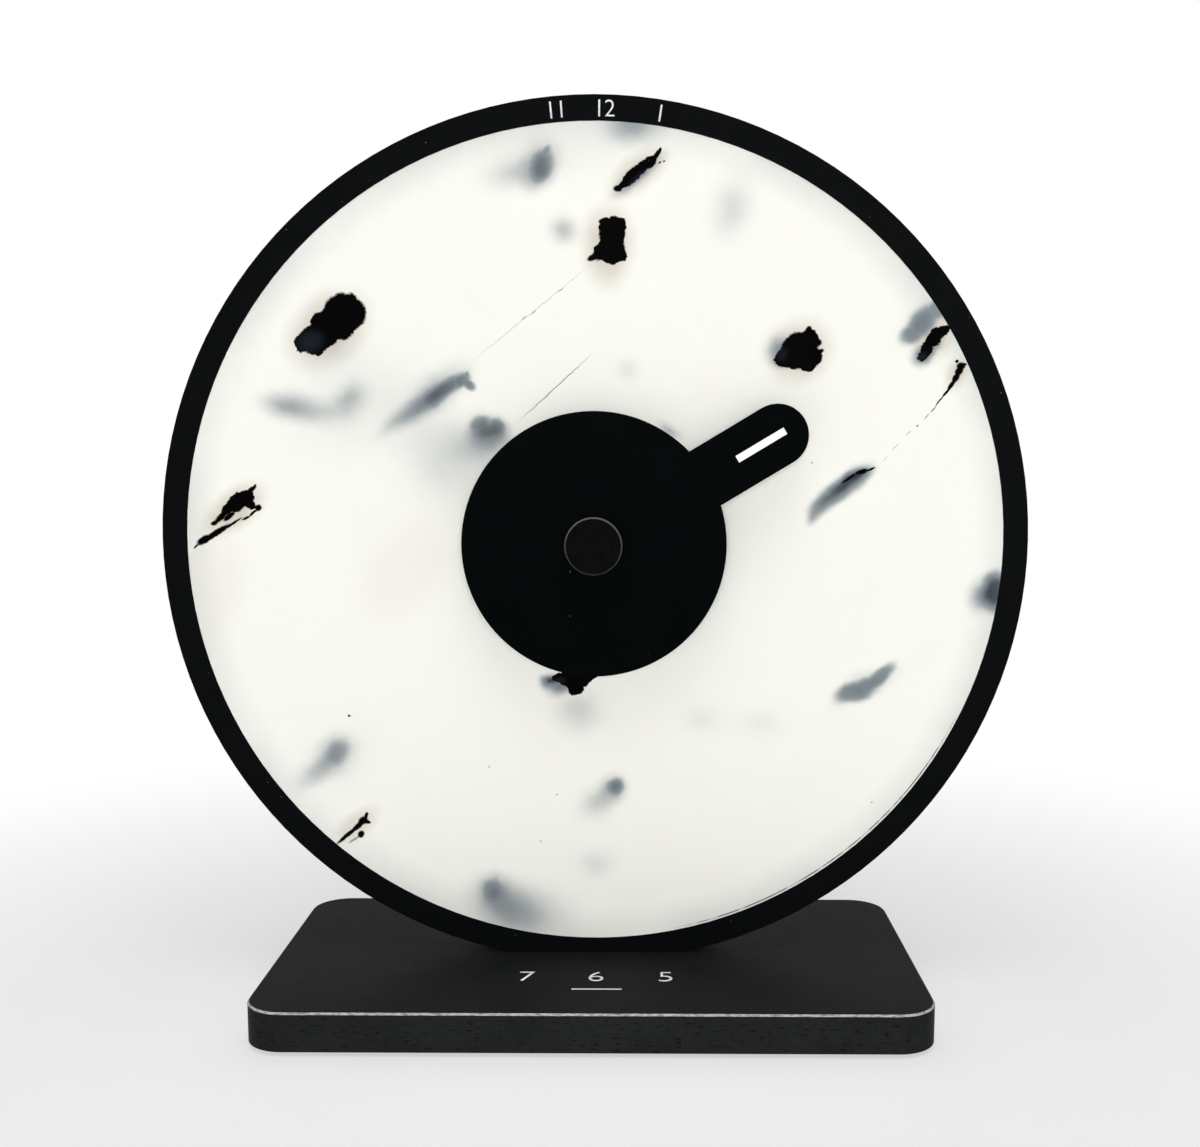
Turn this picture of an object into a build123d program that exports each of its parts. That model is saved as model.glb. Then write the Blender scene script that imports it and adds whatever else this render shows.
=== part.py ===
"""Tide clock: a black board disc with a pale inlaid face, standing on a board base.

Millimetres, +Z up. The front faces -Y, +X is to the right of someone who faces the clock, and the origin
is on the floor under the middle of the base. One hand, a hub disc with a pointer, is carried by the tide
wheel of a quartz movement that hangs on the back of the dial by its stem.
"""

from build123d import *

import os
from math import cos, radians, sin

# Base board, feet, and the dowels that hold the dial up from below
base_width = 150.0
base_depth = 80.0
base_thickness = 8.7
base_corner_radius = 9.0
base_edge_bevel = 0.4
foot_width = 10.0
foot_thickness = 1.0
foot_inset = 13.0
dowel_spacing = 26.0
dowel_length = 18.0
dowel_base_depth = 7.0
dowel_radius = 1.5
dowel_fit = 0.05
dowel_end_room = 0.5

# Dial: a board disc with a flat to stand on, and a pocket that leaves a rim round the face
dial_radius = 100.0
dial_thickness = 9.0
dial_flat_cut = 2.2
dial_lead = 1.5
rim_width = 5.7
face_thickness = 4.0
face_setback = 0.15
face_fit = 0.05

# Stem of the movement, with what clamps it to the dial
stem_radius = 3.95
stem_fit = 0.15
stem_end = 0.5
nut_across_flats = 11.0
nut_thickness = 2.0
gasket_width = 24.0
gasket_thickness = 0.8

# Hand: hub and pointer in one plate, with its index line and cap
hub_radius = 30.0
pointer_width = 14.0
pointer_length = 48.0
hand_angle = 31.0
hand_thickness = 3.0
hand_clearance = 2.15
index_length = 12.5
index_width = 1.7
index_depth = 0.6
index_radius = 43.75
press_fit = 0.02
cap_radius = 6.5
cap_height = 5.0
cap_edge_bevel = 0.35

# Teeth: pointed, with shares of the module above and below the pitch circle and of the pitch between roots
tip_share = 0.85
root_share = 1.05
root_flat_share = 0.25
pinion_teeth = 6
minute_teeth = 18
tide_teeth = 24
centre_teeth = 48
third_teeth = 45
fourth_teeth = 30
fifth_teeth = 36
motion_module = 0.5
tide_module = motion_module * (pinion_teeth + minute_teeth) / (pinion_teeth + tide_teeth)
centre_module = 0.33
third_module = 0.33
fourth_module = 0.43
fifth_module = 0.33

# Bearings of each arbor as seen from the one before it, in degrees from +X
minute_bearing = 135.0
third_bearing = 35.0
fourth_bearing = 75.0
fifth_bearing = 160.0
rotor_bearing = 190.0

# Arbors, wheels and plates of the movement
running_fit = 0.05
shaft_radius = 2.5
cannon_arbor_radius = 0.9
clutch_boss_radius = 1.5
clutch_boss_length = 0.35
stud_radius = 0.4
end_float = 0.1
motion_wheel_thickness = 0.8
wheel_thickness = 0.6
layer_gap = 0.4
plate_thickness = 0.8
plate_margin = 0.9
pillar_width = 2.4
pillar_inset = 2.0
pin_width = 1.2
pin_length = 0.6

# Stepping motor
magnet_radius = 2.5
magnet_thickness = 2.2
magnet_gap = 0.4
stator_thickness = 0.8
stator_half_width = 3.4
stator_half_height = 9.0
stator_leg_width = 3.0
stator_room = 2.5
core_width = 3.0
core_fit = 0.05
bobbin_wall = 0.6
bobbin_flange = 0.8
bobbin_margin = 0.4
bobbin_room = 0.3
winding_thickness = 1.5
coil_room = 2.3
motor_post_inset = 3.0

# Battery, its contacts and the circuit board
battery_radius = 7.25
battery_length = 49.5
button_radius = 2.75
button_length = 1.0
battery_play = 0.3
contact_thickness = 0.4
contact_width = 6.0
contact_fit = 0.1
spring_room = 2.1
spring_margin = 1.6
strip_room = 1.2
board_thickness = 0.8
board_gap = 0.8
board_post_inset = 3.0
chip_width = 4.6
chip_thickness = 1.0
quartz_radius = 1.0
quartz_length = 6.0
quartz_inset = 2.4

# Case of the movement, its cover and the setting knob
case_wall = 1.5
case_floor = 1.2
case_corner_radius = 3.0
partition_thickness = 1.2
cover_thickness = 1.5
cover_fit = 0.1
ear_width = 5.0
ear_thickness = 0.8
ear_reach = 1.0
ear_fit = 0.1
finger_notch_width = 26.0
finger_notch_depth = 8.0
knob_radius = 5.0
knob_thickness = 3.0
knob_neck_radius = 2.2
knob_gap = 0.4
knob_grips = 12
knob_grip_width = 1.0
knob_grip_depth = 0.5
knob_bore_depth = 1.6

# Spare length of every cut that runs out through a face
overrun = 1.0

# Heights of the base and of the hand's axis, and depths from the front of the dial to the back
base_top = foot_thickness + base_thickness
axis_height = base_top + dial_radius - dial_flat_cut
face_radius = dial_radius - rim_width
dial_front = -dial_lead
dial_back = dial_front + dial_thickness
face_front = dial_front + face_setback
pocket_depth = face_setback + face_thickness
dowel_depth = (dial_front + pocket_depth + dial_back) / 2
movement_front = dial_back + gasket_thickness
stem_front = face_front - nut_thickness - stem_end
hand_back = stem_front - hand_clearance
hand_front = hand_back - hand_thickness

# Depths of the wheels and plates, one layer behind the other
tide_depth = movement_front + case_floor + layer_gap
minute_depth = tide_depth + motion_wheel_thickness + layer_gap
plate_depth = minute_depth + motion_wheel_thickness + layer_gap
plate_back = plate_depth + plate_thickness
wheel_step = wheel_thickness + layer_gap
centre_depth = plate_back + layer_gap
third_depth = centre_depth + wheel_step
fourth_depth = third_depth + wheel_step
fifth_depth = fourth_depth + wheel_step
bridge_depth = fifth_depth + wheel_step
magnet_depth = fifth_depth - layer_gap - magnet_thickness
stator_depth = magnet_depth + (magnet_thickness - stator_thickness) / 2
core_depth = stator_depth + stator_thickness
case_depth = case_floor + battery_play + 2 * battery_radius
case_back = movement_front + case_depth
cover_depth = case_back - cover_thickness
knob_depth = case_back + knob_gap
battery_depth = case_back - battery_radius


def polar(start, distance, bearing):
    """Point at a distance and bearing from another, in the plane of the dial."""
    return (start[0] + distance * cos(radians(bearing)), start[1] + distance * sin(radians(bearing)))


def spacing(module, teeth, other_teeth):
    """Distance between the axes of two gears in mesh."""
    return module * (teeth + other_teeth) / 2


def tip_radius(module, teeth):
    """Radius over the tips of a gear's teeth."""
    return module * (teeth / 2 + tip_share)


def mesh_phase(phase, teeth, other_teeth, bearing):
    """Phase of a gear that has a gap where the gear before it, in that bearing, has a tooth."""
    turns = (bearing - phase) * teeth / 360 - 1 / 2
    return bearing + 180 + turns * 360 / other_teeth


# Places of the arbors about the hand's axis, and the phases that put the teeth in mesh
centre_place = (0, 0)
minute_place = polar(centre_place, spacing(motion_module, pinion_teeth, minute_teeth), minute_bearing)
third_place = polar(centre_place, spacing(centre_module, centre_teeth, pinion_teeth), third_bearing)
fourth_place = polar(third_place, spacing(third_module, third_teeth, pinion_teeth), fourth_bearing)
fifth_place = polar(fourth_place, spacing(fourth_module, fourth_teeth, pinion_teeth), fifth_bearing)
rotor_place = polar(fifth_place, spacing(fifth_module, fifth_teeth, pinion_teeth), rotor_bearing)
minute_phase = mesh_phase(0, pinion_teeth, minute_teeth, minute_bearing)
minute_pinion_phase = mesh_phase(0, tide_teeth, pinion_teeth, minute_bearing)
third_pinion_phase = mesh_phase(0, centre_teeth, pinion_teeth, third_bearing)
fourth_pinion_phase = mesh_phase(0, third_teeth, pinion_teeth, fourth_bearing)
fifth_pinion_phase = mesh_phase(0, fourth_teeth, pinion_teeth, fifth_bearing)
rotor_pinion_phase = mesh_phase(0, fifth_teeth, pinion_teeth, rotor_bearing)

# Sides of the case's inside, about the hand's axis, from what it has to hold
centre_tip = tip_radius(centre_module, centre_teeth)
fourth_tip = tip_radius(fourth_module, fourth_teeth)
fifth_tip = tip_radius(fifth_module, fifth_teeth)
inner_width = battery_length + button_length + contact_thickness + spring_room
inner_left = -inner_width / 2
inner_right = inner_width / 2
strip_top = -centre_tip - strip_room
partition_top = strip_top - contact_thickness
partition_low = partition_top - partition_thickness
battery_height = partition_low - battery_play - battery_radius
inner_low = battery_height - battery_radius - battery_play
inner_top = rotor_place[1] + stator_half_height + stator_room
case_width = inner_width + 2 * case_wall
case_height = inner_top - inner_low + 2 * case_wall
case_middle = (inner_top + inner_low) / 2
cover_middle = (inner_top - cover_fit + partition_low) / 2
plate_left = -centre_tip - plate_margin
plate_right = fourth_place[0] + fourth_tip + plate_margin
plate_low = -centre_tip - plate_margin
plate_top = fifth_place[1] + fifth_tip + plate_margin
barrel_width = core_width + 2 * (core_fit + bobbin_wall)
barrel_depth = stator_thickness + 2 * (core_fit + bobbin_wall)
winding_width = barrel_width + 2 * winding_thickness
winding_depth = barrel_depth + 2 * winding_thickness
stator_left = inner_left + coil_room + bobbin_margin + (winding_width - core_width) / 2
stator_right = rotor_place[0] + stator_half_width
stator_low = rotor_place[1] - stator_half_height
stator_top = rotor_place[1] + stator_half_height
coil_place = stator_left + core_width / 2
leg_heights = [stator_low + stator_leg_width / 2, stator_top - stator_leg_width / 2]
motor_posts = [(rotor_place[0] - stator_half_width - motor_post_inset, height) for height in leg_heights]
board_left = inner_left + contact_thickness
board_right = plate_left - board_gap
board_top = stator_low - board_gap
board_depth = stator_depth
board_posts = [(board_left + board_post_inset, (strip_top + board_top) / 2)]
board_posts.append((board_right - board_post_inset, (strip_top + board_top) / 2))
pillars = [(plate_left + pillar_inset, plate_low + pillar_inset)]
pillars.append((plate_right - pillar_inset, plate_low + pillar_inset))
pillars.append((plate_right - pillar_inset, plate_top - pillar_inset))
train_places = [third_place, fourth_place, fifth_place, rotor_place]


def facing(depth):
    """Sketch plane that looks to the front at a depth, with the hand's axis as its origin.

    A negative extrusion from it goes to the back.
    """
    return Plane(origin=(0, depth, axis_height), x_dir=(1, 0, 0), z_dir=(0, -1, 0))


def across(x):
    """Sketch plane that looks to the right, on the battery's axis."""
    return Plane(origin=(x, battery_depth, axis_height + battery_height), x_dir=(0, 1, 0), z_dir=(1, 0, 0))


def bar(front, back, place, radius):
    """Round bar along the depth."""
    with BuildPart() as made:
        with BuildSketch(facing(front)):
            with Locations(place):
                Circle(radius)
        extrude(amount=front - back)
    return made.part


def post(front, back, place, width):
    """Square post along the depth."""
    with BuildPart() as made:
        with BuildSketch(facing(front)):
            with Locations(place):
                Rectangle(width, width)
        extrude(amount=front - back)
    return made.part


def block(front, back, left, right, low, top):
    """Square-edged block between two depths, in places about the hand's axis."""
    with BuildPart() as made:
        with BuildSketch(facing(front)):
            with Locations(((left + right) / 2, (low + top) / 2)):
                Rectangle(right - left, top - low)
        extrude(amount=front - back)
    return made.part


def gear(front, back, place, teeth, module, phase):
    """Spur gear with pointed teeth, one of them at the phase angle."""
    tip = tip_radius(module, teeth)
    root = module * (teeth / 2 - root_share)
    root_half = 180 / teeth * (1 - root_flat_share)
    points = []
    for tooth in range(teeth):
        middle = phase + 360 * tooth / teeth
        points.append(polar((0, 0), root, middle - root_half))
        points.append(polar((0, 0), tip, middle))
        points.append(polar((0, 0), root, middle + root_half))
    with BuildSketch() as outline:
        with BuildLine():
            Polyline(*points, close=True)
        make_face()
    with BuildPart() as made:
        with BuildSketch(facing(front)):
            with Locations(place):
                add(outline.sketch)
        extrude(amount=front - back)
    return made.part


def train_pinion(place, module, phase):
    """Pinion that fills the space between the train plate and the bridge."""
    return gear(plate_back + end_float, bridge_depth - end_float, place, pinion_teeth, module, phase)


def train_wheel(place, front, teeth, module, pinion_module, pinion_phase):
    """Wheel on its long pinion, bored to run on a stud of the train plate."""
    with BuildPart() as made:
        add(gear(front, front + wheel_thickness, place, teeth, module, 0))
        add(train_pinion(place, pinion_module, pinion_phase))
        add(bar(plate_back, bridge_depth, place, stud_radius + running_fit), mode=Mode.SUBTRACT)
    return made.part


def save(piece, name):
    """Labels a finished piece and writes it under its name."""
    piece.label = name
    export_step(piece, f"parts/{name}.step")


os.makedirs("parts", exist_ok=True)

# Base plate: a board with rounded corners and a broken top edge, bored for the dowels
dowel_places = [(-dowel_spacing / 2, dowel_depth), (dowel_spacing / 2, dowel_depth)]
with BuildPart() as base_plate:
    with BuildSketch(Plane.XY.offset(foot_thickness)):
        RectangleRounded(base_width, base_depth, base_corner_radius)
    extrude(amount=base_thickness)
    chamfer(base_plate.edges().group_by(Axis.Z)[-1], base_edge_bevel)
    with BuildSketch(Plane.XY.offset(base_top)):
        with Locations(*dowel_places):
            Circle(dowel_radius + dowel_fit)
    extrude(amount=-dowel_base_depth, mode=Mode.SUBTRACT)
save(base_plate.part, "base_plate")

# Feet: thin square pads near the corners of the base
with BuildPart() as base_feet:
    with BuildSketch():
        with GridLocations(base_width - 2 * foot_inset, base_depth - 2 * foot_inset, 2, 2):
            Rectangle(foot_width, foot_width)
    extrude(amount=foot_thickness)
save(base_feet.part, "base_feet")

# Dowels: half in the base, half in the solid back of the dial
with BuildPart() as dial_dowels:
    with BuildSketch(Plane.XY.offset(base_top - dowel_base_depth)):
        with Locations(*dowel_places):
            Circle(dowel_radius)
    extrude(amount=dowel_length)
save(dial_dowels.part, "dial_dowels")

# Dial body: a board disc with a flat below, the pocket of the face, the stem's hole and the dowels' holes
with BuildPart() as dial_body:
    with BuildSketch(facing(dial_front)):
        Circle(dial_radius)
        with Locations((0, dial_flat_cut - dial_radius)):
            Rectangle(2 * dial_radius, dial_radius, align=(Align.CENTER, Align.MAX), mode=Mode.SUBTRACT)
    extrude(amount=-dial_thickness)
    with BuildSketch(facing(dial_front)):
        Circle(face_radius + face_fit)
    extrude(amount=-pocket_depth, mode=Mode.SUBTRACT)
    with BuildSketch(facing(dial_front)):
        Circle(stem_radius + stem_fit)
    extrude(amount=-dial_thickness, mode=Mode.SUBTRACT)
    with BuildSketch(Plane.XY.offset(base_top)):
        with Locations(*dowel_places):
            Circle(dowel_radius + dowel_fit)
    extrude(amount=dowel_length - dowel_base_depth + dowel_end_room, mode=Mode.SUBTRACT)
save(dial_body.part, "dial_body")

# Dial face: a pale plastic plate let into the dial
with BuildPart() as dial_face:
    with BuildSketch(facing(face_front)):
        Circle(face_radius)
        Circle(stem_radius + stem_fit, mode=Mode.SUBTRACT)
    extrude(amount=-face_thickness)
save(dial_face.part, "dial_face")

# Tide hand: hub disc and round-ended pointer, with a shallow groove for the index line
with BuildPart() as tide_hand:
    with BuildSketch(facing(hand_front)):
        Circle(hub_radius)
        with Locations(polar((0, 0), pointer_length / 2, hand_angle)):
            SlotCenterToCenter(pointer_length, pointer_width, rotation=hand_angle)
        Circle(shaft_radius + press_fit, mode=Mode.SUBTRACT)
    extrude(amount=-hand_thickness)
    with BuildSketch(facing(hand_front)):
        with Locations(polar((0, 0), index_radius, hand_angle)):
            Rectangle(index_length, index_width, rotation=hand_angle)
    extrude(amount=-index_depth, mode=Mode.SUBTRACT)
save(tide_hand.part, "tide_hand")

# Index line: a white strip flush in the pointer's groove
with BuildPart() as index_line:
    with BuildSketch(facing(hand_front)):
        with Locations(polar((0, 0), index_radius, hand_angle)):
            Rectangle(index_length - 2 * press_fit, index_width - 2 * press_fit, rotation=hand_angle)
    extrude(amount=-index_depth)
save(index_line.part, "index_line")

# Hand cap: a plain round button glued over the end of the tide wheel's shaft
with BuildPart() as hand_cap:
    with BuildSketch(facing(hand_front)):
        Circle(cap_radius)
    extrude(amount=cap_height)
    chamfer(hand_cap.edges().group_by(Axis.Y)[0], cap_edge_bevel)
save(hand_cap.part, "hand_cap")

# Stem nut on the front of the face, and the gasket behind the dial
with BuildPart() as stem_nut:
    with BuildSketch(facing(face_front)):
        RegularPolygon(nut_across_flats / 2, 6, major_radius=False)
        Circle(stem_radius + running_fit, mode=Mode.SUBTRACT)
    extrude(amount=nut_thickness)
save(stem_nut.part, "stem_nut")

with BuildPart() as gasket:
    with BuildSketch(facing(dial_back)):
        Rectangle(gasket_width, gasket_width)
        Circle(stem_radius + stem_fit, mode=Mode.SUBTRACT)
    extrude(amount=-gasket_thickness)
save(gasket.part, "gasket")

# Movement case: a tray with a stem, a partition above the battery bay, posts and openings for its pieces
cover_width = inner_width - 2 * cover_fit
cover_height = inner_top - cover_fit - partition_low
ear_depth = cover_depth + (cover_thickness - ear_thickness) / 2
ear_places = [(inner_left, cover_middle, 90), (inner_right, cover_middle, 90)]
ear_places.append((inner_left / 2, inner_top, 0))
ear_places.append((inner_right / 2, inner_top, 0))
contact_front = battery_depth - contact_width / 2
contact_back = battery_depth + contact_width / 2
floor_back = movement_front + case_floor
with BuildPart() as movement_case:
    with BuildSketch(facing(movement_front)):
        with Locations((0, case_middle)):
            RectangleRounded(case_width, case_height, case_corner_radius)
    extrude(amount=-case_depth)
    add(block(floor_back, case_back, inner_left, inner_right, partition_top, inner_top), mode=Mode.SUBTRACT)
    add(block(floor_back, case_back, inner_left, inner_right, inner_low, partition_low), mode=Mode.SUBTRACT)
    add(block(cover_depth, case_back, inner_left, inner_right, partition_low, inner_top), mode=Mode.SUBTRACT)
    for left in (inner_left, inner_right - contact_thickness - contact_fit):
        right = left + contact_thickness + contact_fit
        front = contact_front - contact_fit
        add(block(front, cover_depth, left, right, partition_low, partition_top), mode=Mode.SUBTRACT)
    half_notch = finger_notch_width / 2
    notch_front = case_back - finger_notch_depth
    notch_low = inner_low - case_wall
    add(block(notch_front, case_back, -half_notch, half_notch, notch_low, inner_low), mode=Mode.SUBTRACT)
    with BuildSketch(facing(ear_depth - ear_fit)):
        for x, y, turn in ear_places:
            with Locations((x, y)):
                Rectangle(ear_width + 2 * ear_fit, 2 * (case_wall + overrun), rotation=turn)
    extrude(amount=-ear_thickness - 2 * ear_fit, mode=Mode.SUBTRACT)
    for place in pillars:
        add(post(floor_back, plate_depth, place, pillar_width))
        add(post(plate_depth, plate_depth + pin_length, place, pin_width))
    for place in motor_posts:
        add(post(floor_back, stator_depth, place, pillar_width))
        add(post(stator_depth, stator_depth + stator_thickness, place, pin_width))
    for place in board_posts:
        add(post(floor_back, board_depth, place, pillar_width))
    add(bar(floor_back, plate_depth - end_float, minute_place, stud_radius))
    add(bar(stem_front, floor_back, centre_place, stem_radius))
    add(bar(stem_front, floor_back, centre_place, shaft_radius + running_fit), mode=Mode.SUBTRACT)
save(movement_case.part, "movement_case")

# Movement cover: a plate with four ears that snap into the case's windows, and a hole for the knob
with BuildPart() as movement_cover:
    with BuildSketch(facing(cover_depth)):
        with Locations((0, cover_middle)):
            Rectangle(cover_width, cover_height)
        Circle(knob_neck_radius + running_fit, mode=Mode.SUBTRACT)
    extrude(amount=-cover_thickness)
    with BuildSketch(facing(ear_depth)):
        for x, y, turn in ear_places:
            with Locations((x, y)):
                Rectangle(ear_width, 2 * ear_reach, rotation=turn)
    extrude(amount=-ear_thickness)
save(movement_cover.part, "movement_cover")

# Train plate: a stud for each wheel of the train, and three pillars that carry the bridge
plate_width = plate_right - plate_left
plate_height = plate_top - plate_low
plate_middle = ((plate_left + plate_right) / 2, (plate_low + plate_top) / 2)
pin_hole_width = pin_width + 2 * running_fit
with BuildPart() as train_plate:
    with BuildSketch(facing(plate_depth)):
        with Locations(plate_middle):
            Rectangle(plate_width, plate_height)
        Circle(cannon_arbor_radius + running_fit, mode=Mode.SUBTRACT)
    extrude(amount=-plate_thickness)
    for place in train_places:
        add(bar(plate_back, bridge_depth - end_float, place, stud_radius))
    for place in pillars:
        add(post(plate_back, bridge_depth, place, pillar_width))
        add(post(bridge_depth, bridge_depth + pin_length, place, pin_width))
        add(post(plate_depth, plate_back, place, pin_hole_width), mode=Mode.SUBTRACT)
save(train_plate.part, "train_plate")

# Train bridge: the plate that keeps the wheels on their studs
with BuildPart() as train_bridge:
    with BuildSketch(facing(bridge_depth)):
        with Locations(plate_middle):
            Rectangle(plate_width, plate_height)
        Circle(cannon_arbor_radius + running_fit, mode=Mode.SUBTRACT)
        with Locations(*pillars):
            Rectangle(pin_hole_width, pin_hole_width, mode=Mode.SUBTRACT)
    extrude(amount=-plate_thickness)
save(train_bridge.part, "train_bridge")

# Tide wheel: one turn a tide, with the shaft that carries the hand out through the stem
with BuildPart() as tide_wheel:
    tide_back = tide_depth + motion_wheel_thickness
    add(gear(tide_depth, tide_back, centre_place, tide_teeth, tide_module, 0))
    add(bar(hand_front, tide_depth, centre_place, shaft_radius))
save(tide_wheel.part, "tide_wheel")

# Minute wheel: between the cannon arbor and the tide wheel, on a stud of the case
with BuildPart() as minute_wheel:
    wheel_back = minute_depth + motion_wheel_thickness
    add(gear(minute_depth, wheel_back, minute_place, minute_teeth, motion_module, minute_phase))
    add(gear(tide_depth, minute_depth, minute_place, pinion_teeth, tide_module, minute_pinion_phase))
    add(bar(tide_depth, wheel_back, minute_place, stud_radius + running_fit), mode=Mode.SUBTRACT)
save(minute_wheel.part, "minute_wheel")

# Cannon arbor: cannon pinion in front, shaft through both plates to the setting knob
with BuildPart() as cannon_arbor:
    add(bar(minute_depth, knob_depth + knob_bore_depth, centre_place, cannon_arbor_radius))
    add(gear(minute_depth, wheel_back, centre_place, pinion_teeth, motion_module, 0))
save(cannon_arbor.part, "cannon_arbor")

# Centre wheel: slips on the cannon arbor when the hand is set
with BuildPart() as centre_wheel:
    clutch_front = centre_depth - clutch_boss_length
    clutch_back = centre_depth + wheel_thickness
    add(gear(centre_depth, clutch_back, centre_place, centre_teeth, centre_module, 0))
    add(bar(clutch_front, centre_depth, centre_place, clutch_boss_radius))
    grip = cannon_arbor_radius + running_fit
    add(bar(clutch_front, clutch_back, centre_place, grip), mode=Mode.SUBTRACT)
save(centre_wheel.part, "centre_wheel")

# Third, fourth and fifth wheels of the going train
third = train_wheel(third_place, third_depth, third_teeth, third_module, centre_module, third_pinion_phase)
save(third, "third_wheel")
fourth = train_wheel(
    fourth_place, fourth_depth, fourth_teeth, fourth_module, third_module, fourth_pinion_phase
)
save(fourth, "fourth_wheel")
fifth = train_wheel(fifth_place, fifth_depth, fifth_teeth, fifth_module, fourth_module, fifth_pinion_phase)
save(fifth, "fifth_wheel")

# Rotor pinion on its stud, and the ring magnet on the tips of its teeth
with BuildPart() as rotor_pinion:
    add(train_pinion(rotor_place, fifth_module, rotor_pinion_phase))
    add(bar(plate_back, bridge_depth, rotor_place, stud_radius + running_fit), mode=Mode.SUBTRACT)
save(rotor_pinion.part, "rotor_pinion")

with BuildPart() as rotor_magnet:
    with BuildSketch(facing(magnet_depth)):
        with Locations(rotor_place):
            Circle(magnet_radius)
            Circle(tip_radius(fifth_module, pinion_teeth) + press_fit, mode=Mode.SUBTRACT)
    extrude(amount=-magnet_thickness)
save(rotor_magnet.part, "rotor_magnet")

# Stator: a bar round the rotor with two legs to the ends of the coil
with BuildPart() as stator:
    with BuildSketch(facing(stator_depth)):
        with Locations(rotor_place):
            Rectangle(2 * stator_half_width, 2 * stator_half_height)
        for height in leg_heights:
            with Locations((stator_left, height)):
                Rectangle(stator_right - stator_left, stator_leg_width, align=(Align.MIN, Align.CENTER))
        with Locations(rotor_place):
            Circle(magnet_radius + magnet_gap, mode=Mode.SUBTRACT)
        with Locations(*motor_posts):
            Rectangle(pin_hole_width, pin_hole_width, mode=Mode.SUBTRACT)
    extrude(amount=-stator_thickness)
save(stator.part, "stator")

# Coil core: a flat bar on the legs of the stator
with BuildPart() as coil_core:
    with BuildSketch(facing(core_depth)):
        with Locations((coil_place, rotor_place[1])):
            Rectangle(core_width, 2 * stator_half_height)
    extrude(amount=-stator_thickness)
save(coil_core.part, "coil_core")

# Coil bobbin and the winding between its flanges, both round the core
coil_half_length = stator_half_height - stator_leg_width - bobbin_room
coil_depth = core_depth + stator_thickness / 2
coil_bottom = axis_height + rotor_place[1] - coil_half_length
coil_plane = Plane(origin=(coil_place, coil_depth, coil_bottom), x_dir=(1, 0, 0), z_dir=(0, 0, 1))
with BuildPart() as coil_bobbin:
    with BuildSketch(coil_plane):
        Rectangle(barrel_width, barrel_depth)
    extrude(amount=2 * coil_half_length)
    with BuildSketch(coil_plane, coil_plane.offset(2 * coil_half_length - bobbin_flange)):
        Rectangle(winding_width + 2 * bobbin_margin, winding_depth + 2 * bobbin_margin)
    extrude(amount=bobbin_flange)
    with BuildSketch(coil_plane):
        Rectangle(core_width + 2 * core_fit, stator_thickness + 2 * core_fit)
    extrude(amount=2 * coil_half_length, mode=Mode.SUBTRACT)
save(coil_bobbin.part, "coil_bobbin")

with BuildPart() as coil_winding:
    with BuildSketch(coil_plane.offset(bobbin_flange)):
        RectangleRounded(winding_width, winding_depth, winding_thickness)
        Rectangle(barrel_width + 2 * press_fit, barrel_depth + 2 * press_fit, mode=Mode.SUBTRACT)
    extrude(amount=2 * (coil_half_length - bobbin_flange))
save(coil_winding.part, "coil_winding")

# Circuit board on two posts, with the drive chip and the quartz can
board_back = board_depth + board_thickness
board_middle = ((board_left + board_right) / 2, (strip_top + board_top) / 2)
circuit_board = block(board_depth, board_back, board_left, board_right, strip_top, board_top)
save(circuit_board, "circuit_board")

drive_chip = post(board_back, board_back + chip_thickness, board_middle, chip_width)
save(drive_chip, "drive_chip")

quartz_height = axis_height + board_top - quartz_inset
quartz_left = board_middle[0] - quartz_length / 2
quartz_axis = (quartz_left, board_back + quartz_radius, quartz_height)
with BuildPart() as quartz_can:
    with BuildSketch(Plane(origin=quartz_axis, x_dir=(0, 1, 0), z_dir=(1, 0, 0))):
        Circle(quartz_radius)
    extrude(amount=quartz_length)
save(quartz_can.part, "quartz_can")

# Positive contact: a plate at the battery's button and a strip along the partition to the board
contact_low = battery_height - battery_radius + spring_margin
contact_high = battery_height + battery_radius - spring_margin
with BuildPart() as positive_contact:
    plate_side = inner_right - contact_thickness
    strip_end = board_right - board_post_inset
    add(block(contact_front, contact_back, plate_side, inner_right, contact_low, strip_top))
    add(block(contact_front, contact_back, strip_end, inner_right, partition_top, strip_top))
save(positive_contact.part, "positive_contact")

# Negative contact: a bowed leaf that presses on the end of the can, with a tail up to the board
battery_right = inner_right - contact_thickness - button_length
battery_left = battery_right - battery_length
with BuildPart() as negative_contact:
    with BuildSketch(facing(contact_front)):
        with BuildLine():
            outer_low = (board_left, contact_low)
            outer_high = (board_left, contact_high)
            inner_low_end = (inner_left, contact_low)
            inner_high_end = (inner_left, contact_high)
            ThreePointArc(outer_low, (battery_left, battery_height), outer_high)
            Line(outer_high, inner_high_end)
            ThreePointArc(inner_high_end, (battery_left - contact_thickness, battery_height), inner_low_end)
            Line(inner_low_end, outer_low)
        make_face()
    extrude(amount=contact_front - contact_back)
    add(block(contact_front, contact_back, inner_left, board_left, contact_high, (strip_top + board_top) / 2))
save(negative_contact.part, "negative_contact")

# Battery: a cell with its button to the right
with BuildPart() as battery:
    with BuildSketch(across(battery_left)):
        Circle(battery_radius)
    extrude(amount=battery_length)
    with BuildSketch(across(battery_right)):
        Circle(button_radius)
    extrude(amount=button_length)
save(battery.part, "battery")

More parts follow.
